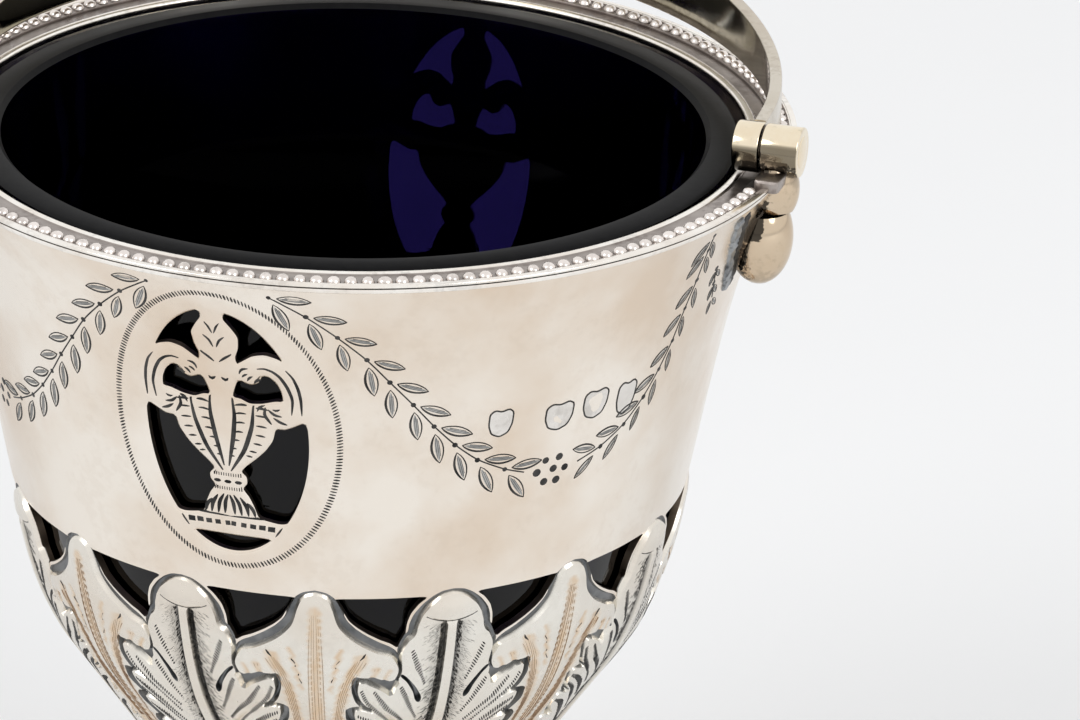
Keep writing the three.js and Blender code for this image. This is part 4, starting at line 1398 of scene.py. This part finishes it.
def urn_strokes():
    """The strokes of one urn's right half, as paths in millimetres from its axis with widths."""
    strokes = [tapered(path, width * 1.8) for path, width in URN_LINES]
    for row, bend in zip(LADDERS, (0.12, -0.12)):
        for n, (x, z) in enumerate(row):
            half = 0.78 - 0.07 * n
            strokes.append(tapered([(x - half, z - bend), (x, z + 0.08), (x + half, z + bend * 0.2)], 0.36))
    for x, z in SQUARES:
        half = 0.28 + 0.03 * x
        strokes.append((np.array([(x - half, z + 0.03), (x, z), (x + half, z - 0.03)]), np.full(3, 0.8)))
    for x, z in OVALS:
        path = np.array([(x + step, z) for step in (-0.42, -0.2, 0.2, 0.42)])
        strokes.append((path, np.array([0.2, 0.6, 0.6, 0.2])))
    for z in (-28.66, -30.62):
        for x in np.arange(0.15, 1.7, 0.3):
            strokes.append((np.array([(x, z + 0.2), (x, z - 0.2)]), np.full(2, 0.13)))
    return strokes


def medallion_engraving():
    parts = []
    for azimuth in (FRONT, BACK):
        for side in (1, -1):
            for path, width in urn_strokes():
                parts.append(strip(on_front(path * (side, 1), azimuth), width))
    return joined(parts)


def flat_tick(length, width):
    path = [(-length / 2, 0), (0, 0), (length / 2, 0)]
    return strip(path, np.array([width * 0.5, width, width * 0.5]), flat=True)


def ring_ticks():
    """Ticks round each medallion, all leaning one way."""
    fine = np.linspace(0, 2 * math.pi, 4000)
    length = lengths(np.stack([RING_HALF[0] * np.sin(fine), RING_HALF[1] * np.cos(fine)], 1))
    places = []
    for azimuth, lean in ((FRONT, 0.35), (BACK, -0.35)):
        for at in np.linspace(0, length[-1], int(length[-1] / TICK_PITCH), endpoint=False):
            angle = float(np.interp(at, length, fine))
            x, z = math.sin(angle), math.cos(angle)
            near, far = on_front([(grow * RING_HALF[0] * x, RING_CENTRE + grow * RING_HALF[1] * z)
                                  for grow in (1.0, 1.02)], azimuth)
            heading = math.atan2(*(far - near)[::-1]) + lean
            position, axes = wall_frame(near, heading, 0.0)
            places.append((position, axes, (1.0, rng.uniform(0.8, 1.25), 1.0)))
    return places


silver_piece("urn_lines", medallion_engraving(), engraved)
scatter("ring_ticks", flat_tick(TICK, 0.29), ring_ticks(), engraved)

# The laurel swags: stem nodes as azimuth and height, from a medallion down to the middle and up to the lug.
LEFT_BRANCH = (
    (-81.95, -2.35), (-77.4, -4.9), (-73.4, -7.8), (-69.5, -11.0), (-66.3, -14.3), (-62.85, -17.65),
    (-59.65, -20.9), (-56.3, -23.8), (-52.6, -26.3), (-48.0, -28.2), (-44.7, -29.1),
)
RIGHT_BRANCH = (
    (-18.6, -2.1), (-18.4, -4.3), (-18.05, -8.6), (-18.55, -12.4), (-19.2, -16.7), (-20.8, -20.2),
    (-23.1, -23.4), (-26.5, -26.3), (-30.8, -28.3), (-35.1, -29.4),
)
FLOWER = (
    (-39.5, -29.5), (-41.1, -28.1), (-38.7, -28.0), (-37.4, -29.7), (-38.7, -31.2), (-40.9, -31.1),
    (-42.4, -29.6),
)
TASSEL = ((-12.9, -8.6), (-11.8, -11.0), (-10.4, -13.4))
# The solder beside the drops.
SEAM = ((-12.4, -1.9), (-11.2, -4.4), (-9.7, -7.2), (-8.0, -10.0), (-6.4, -12.4), (-5.4, -13.6))
# The shields: azimuth and height of the middle, half width and half height.
MARKS = (
    ((-49.6, -21.5), 1.5, 1.9),
    ((-40.0, -22.1), 1.9, 1.9),
    ((-33.6, -21.7), 1.8, 2.0),
    ((-27.4, -22.3), 1.5, 2.3),
)


def swag_sides(places):
    """The four mirror images of places given by azimuth and height."""
    azimuth, height = np.array(places).T
    return [np.stack([turn, height], 1) for turn in (azimuth, -180 - azimuth, -azimuth, 180 + azimuth)]


# Which of the four run against the first.
MIRRORS = (1, -1, -1, 1)


def laurel_leaf():
    """An engraved laurel leaf: a dark outline, heavier on one side, and fine lines inside."""
    t = np.linspace(0, 1, 9)
    upper = np.stack([3.4 * t - 1.7, 0.62 * np.sin(math.pi * t) ** 0.8], 1)
    swell = np.sin(math.pi * t) ** 0.6
    parts = [strip(upper, 0.1 + 0.1 * swell, flat=True)]
    parts.append(strip(upper * (1, -1), 0.12 + 0.22 * swell, flat=True))
    for y, reach in ((-0.14, 1.1), (0.06, 1.2), (0.24, 0.9)):
        x = np.linspace(-reach, reach, 4)
        parts.append(strip(np.stack([x, y * (1 - 0.35 * (x / 1.7) ** 2)], 1), 0.07, LIFT * 0.9, True))
    return joined(parts)


def laurel_fill():
    """The grey middle of a laurel leaf."""
    x = np.linspace(-1.35, 1.4, 8)
    width = 0.72 * np.sin(math.pi * np.linspace(0.03, 0.97, 8)) ** 0.7
    return strip(np.stack([x, x * 0], 1), width, LIFT * 0.5, True)


# Laurel leaves by side of the stem: angle from it, distance of the middle from the node, and size.
LEAF_PAIRS = {
    "left": {1: (0.52, 2.95, (1.18, 1.02)), -1: (0.56, 3.3, (1.24, 1.12))},
    "right": {1: (0.34, 3.1, (1.0, 0.7)), -1: (0.66, 2.7, (1.05, 0.95))},
    "tassel": {1: (0.4, 1.6, (0.6, 0.6)), -1: (0.4, 1.6, (0.6, 0.6))},
}


# No leaf's middle is nearer than this to the beads' plane.
LEAF_LIMIT = 2.05


def swag_leaves():
    """Pairs of leaves at the swags' nodes."""
    places = []
    branches = {"left": LEFT_BRANCH, "right": RIGHT_BRANCH, "tassel": TASSEL}
    for key, branch in branches.items():
        for mirror, nodes in zip(MIRRORS, swag_sides(branch)):
            plane = on_plane(nodes)
            along = np.gradient(plane, axis=0)
            pairs = list(zip(plane, along))
            for node, ahead in pairs if key == "tassel" else pairs[:-1]:
                stem = math.atan2(ahead[1], ahead[0])
                for side in (1, -1):
                    turn, reach, size = LEAF_PAIRS[key][side * mirror]
                    heading = stem + side * (turn + rng.uniform(-0.05, 0.05))
                    grow = rng.uniform(0.93, 1.05)
                    reach *= grow * UNIT / radius_at(node[1])
                    centre = node + reach * np.array([math.cos(heading), math.sin(heading)])
                    if centre[1] > level_at(LEAF_LIMIT):
                        continue
                    position, axes = wall_frame(centre, heading, 0.0)
                    places.append((position, axes, (size[0] * grow, mirror * size[1] * grow, 1.0)))
    return places


def dot_shape(radius):
    turns = np.linspace(0, 2 * math.pi, 10, endpoint=False)
    circle = np.stack([np.cos(turns), np.sin(turns), np.zeros(10)], 1)
    rings = ((radius, SUNK), (radius, LIFT * 0.5), (radius * 0.7, LIFT))
    return lofted_mesh([circle * (size, size, 0) + (0, 0, z) for size, z in rings])


def dots(places):
    """Places on the bowl for dots, on all four sides."""
    result = []
    for nodes in swag_sides(places):
        for node in on_plane(nodes):
            position, axes = wall_frame(node, 0.0, 0.0)
            result.append((position, axes, rng.uniform(0.9, 1.1)))
    return result


def swag_stems():
    parts = []
    for branch in (LEFT_BRANCH, RIGHT_BRANCH, TASSEL):
        for nodes in swag_sides(branch):
            parts.append(strip(even_curve(on_plane(nodes), 0.6), 0.24))
    return joined(parts)


def shield(half_width, half_height):
    """A plain shield's outline."""
    half = [(0, -half_height), (half_width * 0.7, -half_height * 0.75), (half_width, -half_height * 0.1),
            (half_width, half_height * 0.75), (half_width * 0.6, half_height), (0, half_height * 0.85)]
    return np.array(half + [(-x, z) for x, z in half[-2:0:-1]])


def shields():
    """The edges and the fields of the plain shields."""
    edges, fields = [], []
    for (azimuth, height), half_width, half_height in MARKS:
        radius = bowl_radius(-height)
        centre = np.array([math.radians(azimuth) * radius, height])
        rings = []
        for grow in (1.0, 0.94):
            loop = even_curve(shield(half_width * grow, half_height * grow), 0.3, True, (0.16,)) + centre
            rings.append(on_plane(np.stack([np.degrees(loop[:, 0] / radius), loop[:, 1]], 1)))
        edges.append(strip(rings[0], 0.26, LIFT * 1.5, closed=True))
        fields.append(lofted_mesh([wall(rings[1], lift) for lift in (-0.05, LIFT * 0.5)]))
    return joined(edges), joined(fields)


leaves = swag_leaves()
scatter("laurel_outlines", laurel_leaf(), leaves, engraved)
scatter("laurel_fills", laurel_fill(), leaves, leaf_grey)
NODES = LEFT_BRANCH[:-1] + RIGHT_BRANCH[:-1] + TASSEL[:-1]
scatter("laurel_nodes", dot_shape(0.34), dots(NODES), engraved)
scatter("flower_dots", dot_shape(0.52), dots(FLOWER), engraved)
silver_piece("laurel_stems", swag_stems(), engraved)
shield_edges, shield_fields = shields()
silver_piece("shield_edges", shield_edges, engraved)
silver_piece("shield_fields", shield_fields, shield_silver)


def solder_seams(shift, size, lift):
    """Uneven strips along the seams beside the drops, moved towards the drops by a shift."""
    parts = []
    for mirror, nodes in zip(MIRRORS, swag_sides(SEAM)):
        line = even_curve(on_plane(nodes), 0.35) + (mirror * shift, 0)
        width = size + 0.17 * size * rng.standard_normal(len(line))
        parts.append(strip(line, width, lift + 0.3 * lift * rng.standard_normal(len(line))))
    return joined(parts)


silver_piece("solder_seams", solder_seams(0.0, 1.7, 0.3), solder)
silver_piece("seam_soot", solder_seams(1.5, 1.8, 0.16), engraved)


# The leaves' engraving, in one sector's plane and then turned to all eight.

# Rows of short dashes on the ribbed leaf's right half, from the tip inwards.
DASH_ROWS = (
    ((6.2, -52.6), (5.3, -54.5), (3.7, -57.5)),
    ((7.7, -58.0), (6.4, -60.4), (4.5, -63.0)),
    ((14.6, -58.4), (13.6, -60.1), (11.8, -61.6), (9.0, -63.6), (6.5, -66.0)),
    ((12.4, -58.6), (10.3, -60.9), (8.2, -62.2), (5.6, -64.6)),
    ((15.0, -62.6), (12.8, -63.4), (10.0, -65.0), (6.5, -68.0)),
    ((14.6, -64.0), (11.5, -65.4), (8.0, -68.2), (5.5, -70.6)),
    ((15.0, -66.8), (12.0, -67.8), (8.5, -70.4), (5.5, -73.0)),
    ((14.6, -70.8), (11.5, -72.0), (8.0, -74.6), (5.2, -77.0)),
    ((14.2, -75.0), (11.0, -76.4), (7.5, -78.8)),
)


def sector_places(spots):
    """Places on all eight sectors from spots of x, y, heading and size in one sector's plane."""
    lifts, _ = calyx_surface(np.array([spot[:2] for spot in spots]))
    first = []
    for (x, y, heading, size), lift in zip(spots, lifts):
        first.append((*wall_frame(np.array([x, y]), heading, lift), size))
    result = []
    for k in range(SECTORS):
        turn = spin(math.radians(BROAD_AXIS + SECTOR * k))
        result.extend((turn @ position, turn @ axes, size) for position, axes, size in first)
    return result


def dash_spots():
    """Dashes along the rows on both sides of the ribbed leaf, longest in a row's middle."""
    spots = []
    for row in DASH_ROWS:
        line = even_curve(on_plane(row), 0.38)
        along = np.gradient(line, axis=0)
        for n, ((x, y), (dx, dy)) in enumerate(zip(line, along)):
            share = n / len(line)
            for side in (1, -1):
                heading = math.atan2(dy, dx * side) + side * 1.0
                size = 0.55 + 0.5 * math.sin(math.pi * min(1, share * 1.2 + 0.1))
                spots.append((MIDDLE + side * x, y, heading, (size * rng.uniform(0.85, 1.1), 1.0, 1.0)))
    return spots


def hair_shape(length, width):
    """A thin closed wedge."""
    ends = []
    for x, share, top in ((-length / 2, 2, LIFT), (length / 2, 6, LIFT * 0.6)):
        ends.append(np.array([(x, -width / share, SUNK), (x, width / share, SUNK), (x, 0, top)]))
    return lofted_mesh(ends)


# Hairs in one sector.
HAIRS = 1500


def hair_spots():
    """Short hairs beside the midrib, thinning outwards."""
    spots = []
    top, low = level_at(48.9), level_at(79.0)
    while len(spots) < HAIRS:
        y = low + (top - low) * rng.random() ** 0.75
        scale = UNIT / radius_at(y)
        reach = rng.exponential(0.9)
        if reach > 2.4 - 1.0 * (top - y) / (top - low):
            continue
        side = rng.choice((-1, 1))
        heading = -math.pi / 2 + side * (0.5 + rng.uniform(-0.25, 0.25) + 0.25 * reach)
        x = MIDDLE + side * (bar_half(y) + 0.2 + reach) * scale
        spots.append((x, y, heading, (rng.uniform(0.6, 1.2), rng.uniform(0.7, 1.1), 1.0)))
    return spots


def sector_strips(paths, axes, test=None):
    """Strips along paths of degrees from an axis and height, with widths, on all eight sectors."""
    parts = []
    for places, width in paths:
        for axis, side in axes:
            line = even_curve(on_plane(places), 0.6) * (side, 1) + (axis, 0)
            x, y = line.T
            line = line[(x > 0.01) & (x < SECTOR_WIDTH - 0.01) & (y > LOWEST + 1)]
            if test is not None and len(line):
                line = line[test(line) > 0.5]
            if len(line) < 3:
                continue
            lift, _ = calyx_surface(line)
            t = np.linspace(0, 1, len(line))
            swell = width * (0.3 + 0.7 * np.sin(math.pi * t) ** 0.6)
            points, faces = lifted_strip(line, swell, lift)
            for k in range(SECTORS):
                parts.append((turned(points, math.radians(BROAD_AXIS + SECTOR * k)), faces))
    return joined(parts)


def lifted_strip(line, width, lift):
    """A closed strip along a line of the plane, on a surface lifted off the bowl's face."""
    side = -rightward(line) * (width / 2 * UNIT / radius_at(line[:, 1]))[:, None]
    corners = ((-1, -0.08), (1, -0.08), (0.6, LIFT), (-0.6, LIFT))
    return lofted_mesh(list(np.stack([wall(line + side * share, lift + up) for share, up in corners], 1)))


def stripe_lines():
    """Fine lines along the broad leaf's stripes, as paths with widths."""
    paths = []
    for s in (0.25, 0.6, 1.0):
        path = ((s * 0.8, -47.2), (s * 0.95, -50), (s * 1.25, -55), (s * 1.4, -66), (s * 1.3, -79))
        paths.append((path, 0.1))
    for s in (-0.9, -0.45, 0.0, 0.45, 0.9):
        upper = ((7.6 + s, -53.6 - abs(s) * 0.5), (5.8 + s * 0.9, -56.4), (4.5 + s * 0.7, -59.5))
        lower = ((3.7 + s * 0.6, -64.1), (3.0 + s * 0.5, -72.0))
        paths.append((upper + lower, 0.1))
    for s in (-0.3, 0.3):
        paths.append((((10.4 + s, -55.0), (9.6 + s, -56.6), (8.6 + s, -58.5)), 0.09))
    return paths


# Short strokes in the broad leaf's stripes, and the two half leaves of a sector.
MARK_LINES = (
    (((4.1, -53.7), (3.7, -54.3), (3.4, -54.9)), 0.5),
    (((3.0, -55.9), (2.75, -56.6), (2.45, -57.3)), 0.45),
    (((8.4, -52.8), (8.1, -53.3), (7.5, -53.7)), 0.4),
)
BROAD_SIDES = ((0.0, 1), (SECTOR_WIDTH, -1))

scatter("leaf_dashes", flat_tick(0.85, 0.26), sector_places(dash_spots()), engraved)
scatter("leaf_hairs", hair_shape(0.62, 0.13), sector_places(hair_spots()), engraved)
silver_piece("leaf_lines", sector_strips(stripe_lines(), BROAD_SIDES, on_broad), brown_lines)
silver_piece("leaf_marks", sector_strips(MARK_LINES, BROAD_SIDES, on_broad), engraved)
# A dark strip along the lip paints the shadow under the ribbed leaf's plain top.
silver_piece("leaf_lips", sector_strips([(LIP, 0.32)], ((MIDDLE, 1),)), engraved)


# Beads

def bead_shape(half_length, half_width, height):
    """Half an egg, closed below."""
    ring, rows = 12, 4
    points = [(0, 0, height)]
    for i in range(1, rows + 1):
        angle = math.pi / 2 * i / rows
        out, up = math.sin(angle), height * math.cos(angle)
        for k in range(ring):
            turn = 2 * math.pi * k / ring
            points.append((half_length * out * math.cos(turn), half_width * out * math.sin(turn), up))
    faces = [(0, 1 + k, 1 + (k + 1) % ring) for k in range(ring)]
    for i in range(rows - 1):
        for k in range(ring):
            a, b = 1 + i * ring + k, 1 + i * ring + (k + 1) % ring
            faces.append((a, a + ring, b + ring, b))
    faces.append(tuple(range(1 + (rows - 1) * ring, 1 + rows * ring))[::-1])
    return np.array(points), faces


def bead_places(radius, height, spans):
    """Places evenly along a ring between azimuths, with slightly uneven widths."""
    places = []
    for start, end in spans:
        count = int(round(math.radians(end - start) * radius / BEAD_PITCH))
        for k in range(count):
            azimuth = math.radians(start + (end - start) * (k + 0.5) / count)
            size = 1.0 + 0.05 * rng.standard_normal()
            position = (radius * math.cos(azimuth), radius * math.sin(azimuth), height)
            places.append((position, spin(azimuth), (1.0, size, 1.0)))
    return places


# The beads' pitch, and each wire's radius and height. The rim's wire stops at the lugs.
BEAD_PITCH = 1.955
RIM_WIRE, FOOT_WIRE = (52.2, 120.7), (31.9, 4.6)
BEAD_END = math.degrees(math.asin(5.8 / 52.4))
RIM_SPANS = ((BEAD_END - 180, -BEAD_END), (BEAD_END, 180 - BEAD_END))
rim_beads, foot_beads = bead_places(*RIM_WIRE, RIM_SPANS), bead_places(*FOOT_WIRE, ((0, 360),))
scatter("rim_beads", bead_shape(0.84, 0.80, 0.66), rim_beads, bead_silver,
        "rim_bead_wire_front", "rim_bead_wire_back")
scatter("foot_beads", bead_shape(0.93, 0.78, 0.92), foot_beads, bead_silver, "foot_bead_wire")


# Handle and hinges: the height of the hinges' line, the fold from upright, and the strip's half thickness.
HINGE = 123.95
FOLD = math.radians(-86.5)
HALF_THICK = 0.775
# The bow's legs from the middle, and the heights where its arch starts and ends.
LEG, ARCH_LOW, ARCH_HIGH = 50.3, 6.3, 55
# How far the drops' middles stand off the bowl.
DROP_OUT = 0.8
# The hinges' tubes: inner and outer radius, and where the knuckle and the lug's tube start and end.
BORE, TUBE = 1.4, 3.05
KNUCKLE, LUG = (48.35, 51.55), (51.85, 56.4)


def folded(points):
    c, s = math.cos(FOLD), math.sin(FOLD)
    x, y, z = points.T
    return np.stack([x, y * c - z * s, HINGE + y * s + z * c], 1)


def handle_bow():
    """The upright bow's points, its faces, and 1 for the faces of its inner side."""
    turns = np.linspace(0, math.pi, 181)
    across = LEG * np.sign(np.cos(turns)) * np.abs(np.cos(turns)) ** (2 / 1.8)
    up = ARCH_LOW + (ARCH_HIGH - ARCH_LOW) * np.sin(turns).clip(0) ** (2 / 1.8)
    legs = np.linspace(3.1, 6.0, 4)
    left, right = [(LEG, h) for h in legs], [(-LEG, h) for h in legs[::-1]]
    line = np.concatenate([left, np.stack([across, up], 1), right])
    sections = []
    for (x, z), (out_x, out_z) in zip(line, rightward(line)):
        half = (4 + 5 * z / 55) / 2
        corners = [(HALF_THICK, half), (HALF_THICK, -half), (-HALF_THICK, -half), (-HALF_THICK, half)]
        outline = rounded(corners, 0.35)
        sections.append(np.array([(x + out_x * out, y, z + out_z * out) for out, y in outline]))
    inner = (outline[:, 0] < -0.7) & (np.roll(outline[:, 0], -1) < -0.7)
    index = np.concatenate([np.tile(inner, len(sections) - 1), [False, False]])
    return *lofted_mesh(sections), index.astype(int)


points, faces, index = handle_bow()
# The bow's inner side takes the darker copy, which paints its shade.
bow = add_object("bow", folded(points), faces, [handle_silver, handle_inner_shade], index)
dress(bow, "handle", "silver", "handle_bow")


def barrel(start, end):
    """A hinge's tube, from one distance from the middle to another."""
    points, faces = lathe_mesh(rounded(block(BORE, start, TUBE, end), 0.22), HINGE_TURNS)
    return along_x(points), faces


def mirrored_x(points):
    return points * (-1, -1, 1)


def lug_neck():
    """The lug's neck, between the knuckle and the rim."""
    rows, columns = 18, 24
    top, low = 122.2, 116.4
    inner, outer = 52.6, 56.2
    sections = []
    for i in range(rows + 1):
        z = top - (top - low) * i / rows
        half = 3.2 * math.sqrt(max(0.05, 1 - ((z - 119.85) / 4.9) ** 2))
        swell = math.sqrt(max(0.05, 1 - ((z - 119.0) / 4.6) ** 2))
        ring = []
        for k in range(columns + 1):
            y = -half + 2 * half * k / columns
            bulge = math.sqrt(max(0.0, 1 - (y / half) ** 2))
            ring.append((inner + (outer - inner) * bulge * swell, y, z))
        ring += [(52.5, half, z), (52.5, -half, z)]
        sections.append(np.array(ring))
    return lofted_mesh(sections)


def pad():
    """The lug's foot on the rim."""
    sections = []
    for y, grow in ((-5.5, -0.35), (-5.3, -0.1), (-4.9, 0.0), (4.9, 0.0), (5.3, -0.1), (5.5, -0.35)):
        outline = rounded(block(51.85 - grow, 120.4, 55.0 + grow, 121.9 + grow), 0.3)
        sections.append(np.array([(x, y, z) for x, z in outline]))
    return lofted_mesh(sections)


def drop():
    """The egg-shaped drop, pressed flat where it meets the bowl."""
    top, height, radius, belly = 116.1, 9.5, 4.0, 0.36
    profile = [(0, top)]
    for t in np.linspace(0, 1, 26):
        share = math.sqrt(max(0, 1 - ((t - belly) / (1 - belly)) ** 2))
        profile.append((radius * share if t < 1 else 0.0, top - height * t))
    points, faces = lathe_mesh(profile, HINGE_TURNS)
    points[:, 0] += float(bowl_radius(4.6 + height * belly)) + DROP_OUT
    reach = np.hypot(points[:, 0], points[:, 1])
    face = bowl_radius(RIM_HEIGHT - points[:, 2]) - 0.4
    points[:, :2] *= (np.maximum(reach, face) / reach)[:, None]
    return points, faces


def pin():
    head = [(2.1, 55.8), (2.1, 56.35), (1.9, 56.5), (1.3, 56.58), (0, 56.65)]
    profile = [(0, 48.65), (1.3, 48.65), (1.3, 55.8)] + head
    points, faces = lathe_mesh(rounded(profile, 0.06, False, 2), 48)
    return along_x(points), faces


def sooty_reflecting_piece(name, body, node, mesh, soot_and_reflection, painted_reflection, side, materials=(lug_silver,), index=None):
    """A hinge's piece, on the right or turned to the left, with two marks on its points from 0 to 1: black
    pits with painted dark reflections, and a painted olive reflection.
    """
    points, faces = mesh
    obj = add_object(name, points if side > 0 else mirrored_x(points), faces, materials, index)
    mark_points(obj, "soot_and_reflection", soot_and_reflection)
    mark_points(obj, "painted_reflection", painted_reflection)
    return dress(obj, body, "silver", node)


def knuckle_piece(side, name):
    points, faces = barrel(*KNUCKLE)
    z = points[:, 2] - HINGE
    # Painted dark reflections: olive from a little above the hinges' line down, and near black with pits
    # below it.
    soot_and_reflection, painted_reflection = 0.75 * smooth((-0.4 - z) / 0.5), 0.92 * smooth((1.15 - z) / 0.4)
    sooty_reflecting_piece(f"knuckle_{name}", "handle", f"handle_knuckle_{name}", (points, faces), soot_and_reflection, painted_reflection, side)


def lug_piece(side, name):
    parts = [barrel(*LUG), lug_neck(), pad()]
    points, faces = joined(parts)
    index = np.repeat((0, 1, 2), [len(some) for _, some in parts])
    x, _, z = points.T
    on_barrel = np.arange(len(points)) < len(parts[0][0])
    clean_end = smooth((56.39 - x) / 0.08)
    # On the tube, painted dark reflections: near black with pits below the hinges' line, and an olive band
    # round it. On the neck and pad, black pits that grow towards the bowl.
    below = smooth((HINGE - 0.5 - z) / 0.6)
    soot_and_reflection = np.where(on_barrel, 0.62 * below * clean_end, 0.9 * smooth((54.0 - x) / 0.9))
    band = smooth((HINGE + 1.7 - z) / 0.35) * smooth((z - HINGE + 1.5) / 0.5)
    painted_reflection = np.where(on_barrel, 0.85 * band * clean_end, 0)
    finishes = (lug_silver, drop_silver, rim_ground_shade)
    sooty_reflecting_piece(f"lug_{name}", "basket", f"hinge_lug_{name}", (points, faces), soot_and_reflection, painted_reflection, side, finishes,
                index)


def drop_piece(side, name):
    points, faces = drop()
    x, _, z = points.T
    middle = float(bowl_radius(8.0)) + DROP_OUT
    # A painted dark reflection over the drop's upper part, added to black pits that grow towards the bowl.
    top = smooth((z - 113.2) / 0.5) * smooth((middle + 1.6 - x) / 0.8)
    soot_and_reflection = 0.62 * smooth((middle + 0.9 - x) / 2.4) + top
    sooty_reflecting_piece(f"drop_{name}", "basket", f"lug_drop_{name}", (points, faces), soot_and_reflection, 0 * x, side,
                (drop_silver,))


def pin_piece(side, name):
    points, faces = pin()
    clean = np.zeros(len(points))
    sooty_reflecting_piece(f"pin_{name}", "basket", f"hinge_pin_{name}", (points, faces), clean, clean, side)


for side, name in ((1, "right"), (-1, "left")):
    for make in (knuckle_piece, lug_piece, drop_piece, pin_piece):
        make(side, name)


# Studio: a pale floor, soft lamps and a white surround. The lamps' sizes and places are in metres.
LAMP_SIZE, LAMP_AIM = 0.9, (0, 0, 0.08)


def add_floor():
    material, tree, shader, place = new_material("paper")
    paper = ramp(tree, noise(tree, place, 9.0, 3.0), (0.3, (0.925, 0.93, 0.94)), (0.7, (0.935, 0.94, 0.95)))
    tree.links.new(paper, shader.inputs["Base Color"])
    shader.inputs["Roughness"].default_value = 0.9
    corners = [(x, y, 0) for x, y in block(-6000.0, -6000.0, 6000.0, 6000.0)]
    floor = add_object("floor", corners, [(0, 1, 2, 3)], [material])


def add_lamp(name, place, power):
    """A round soft lamp that faces the basket."""
    lamp = bpy.data.lights.new(name, "AREA")
    lamp.shape = "DISK"
    lamp.size = LAMP_SIZE
    lamp.energy = power
    obj = bpy.data.objects.new(name, lamp)
    obj.location = place
    direction = Vector(LAMP_AIM) - Vector(place)
    obj.rotation_euler = direction.to_track_quat("-Z", "Y").to_euler()
    bpy.context.scene.collection.objects.link(obj)


def add_world():
    """White all round, a little less bright as a lamp than as the camera and the reflections see it."""
    world = bpy.data.worlds.new("studio")
    world.use_nodes = True
    bpy.context.scene.world = world
    tree = world.node_tree
    background = tree.nodes["Background"]
    rays = tree.nodes.new("ShaderNodeLightPath")
    seen = rays.outputs["Is Camera Ray"]
    for key in ("Is Glossy Ray", "Is Transmission Ray"):
        seen = computed(tree, "MAXIMUM", seen, rays.outputs[key])
    tree.links.new(ranged(tree, seen, 0.75, 1.0), background.inputs["Strength"])
    background.inputs["Color"].default_value = (1.0, 1.0, 1.0, 1.0)


add_floor()
add_world()
add_lamp("key", (-0.9, -1.1, 1.3), 8.0)
add_lamp("fill", (1.2, -0.6, 0.9), 6.5)
bpy.context.scene.view_settings.view_transform = "Standard"
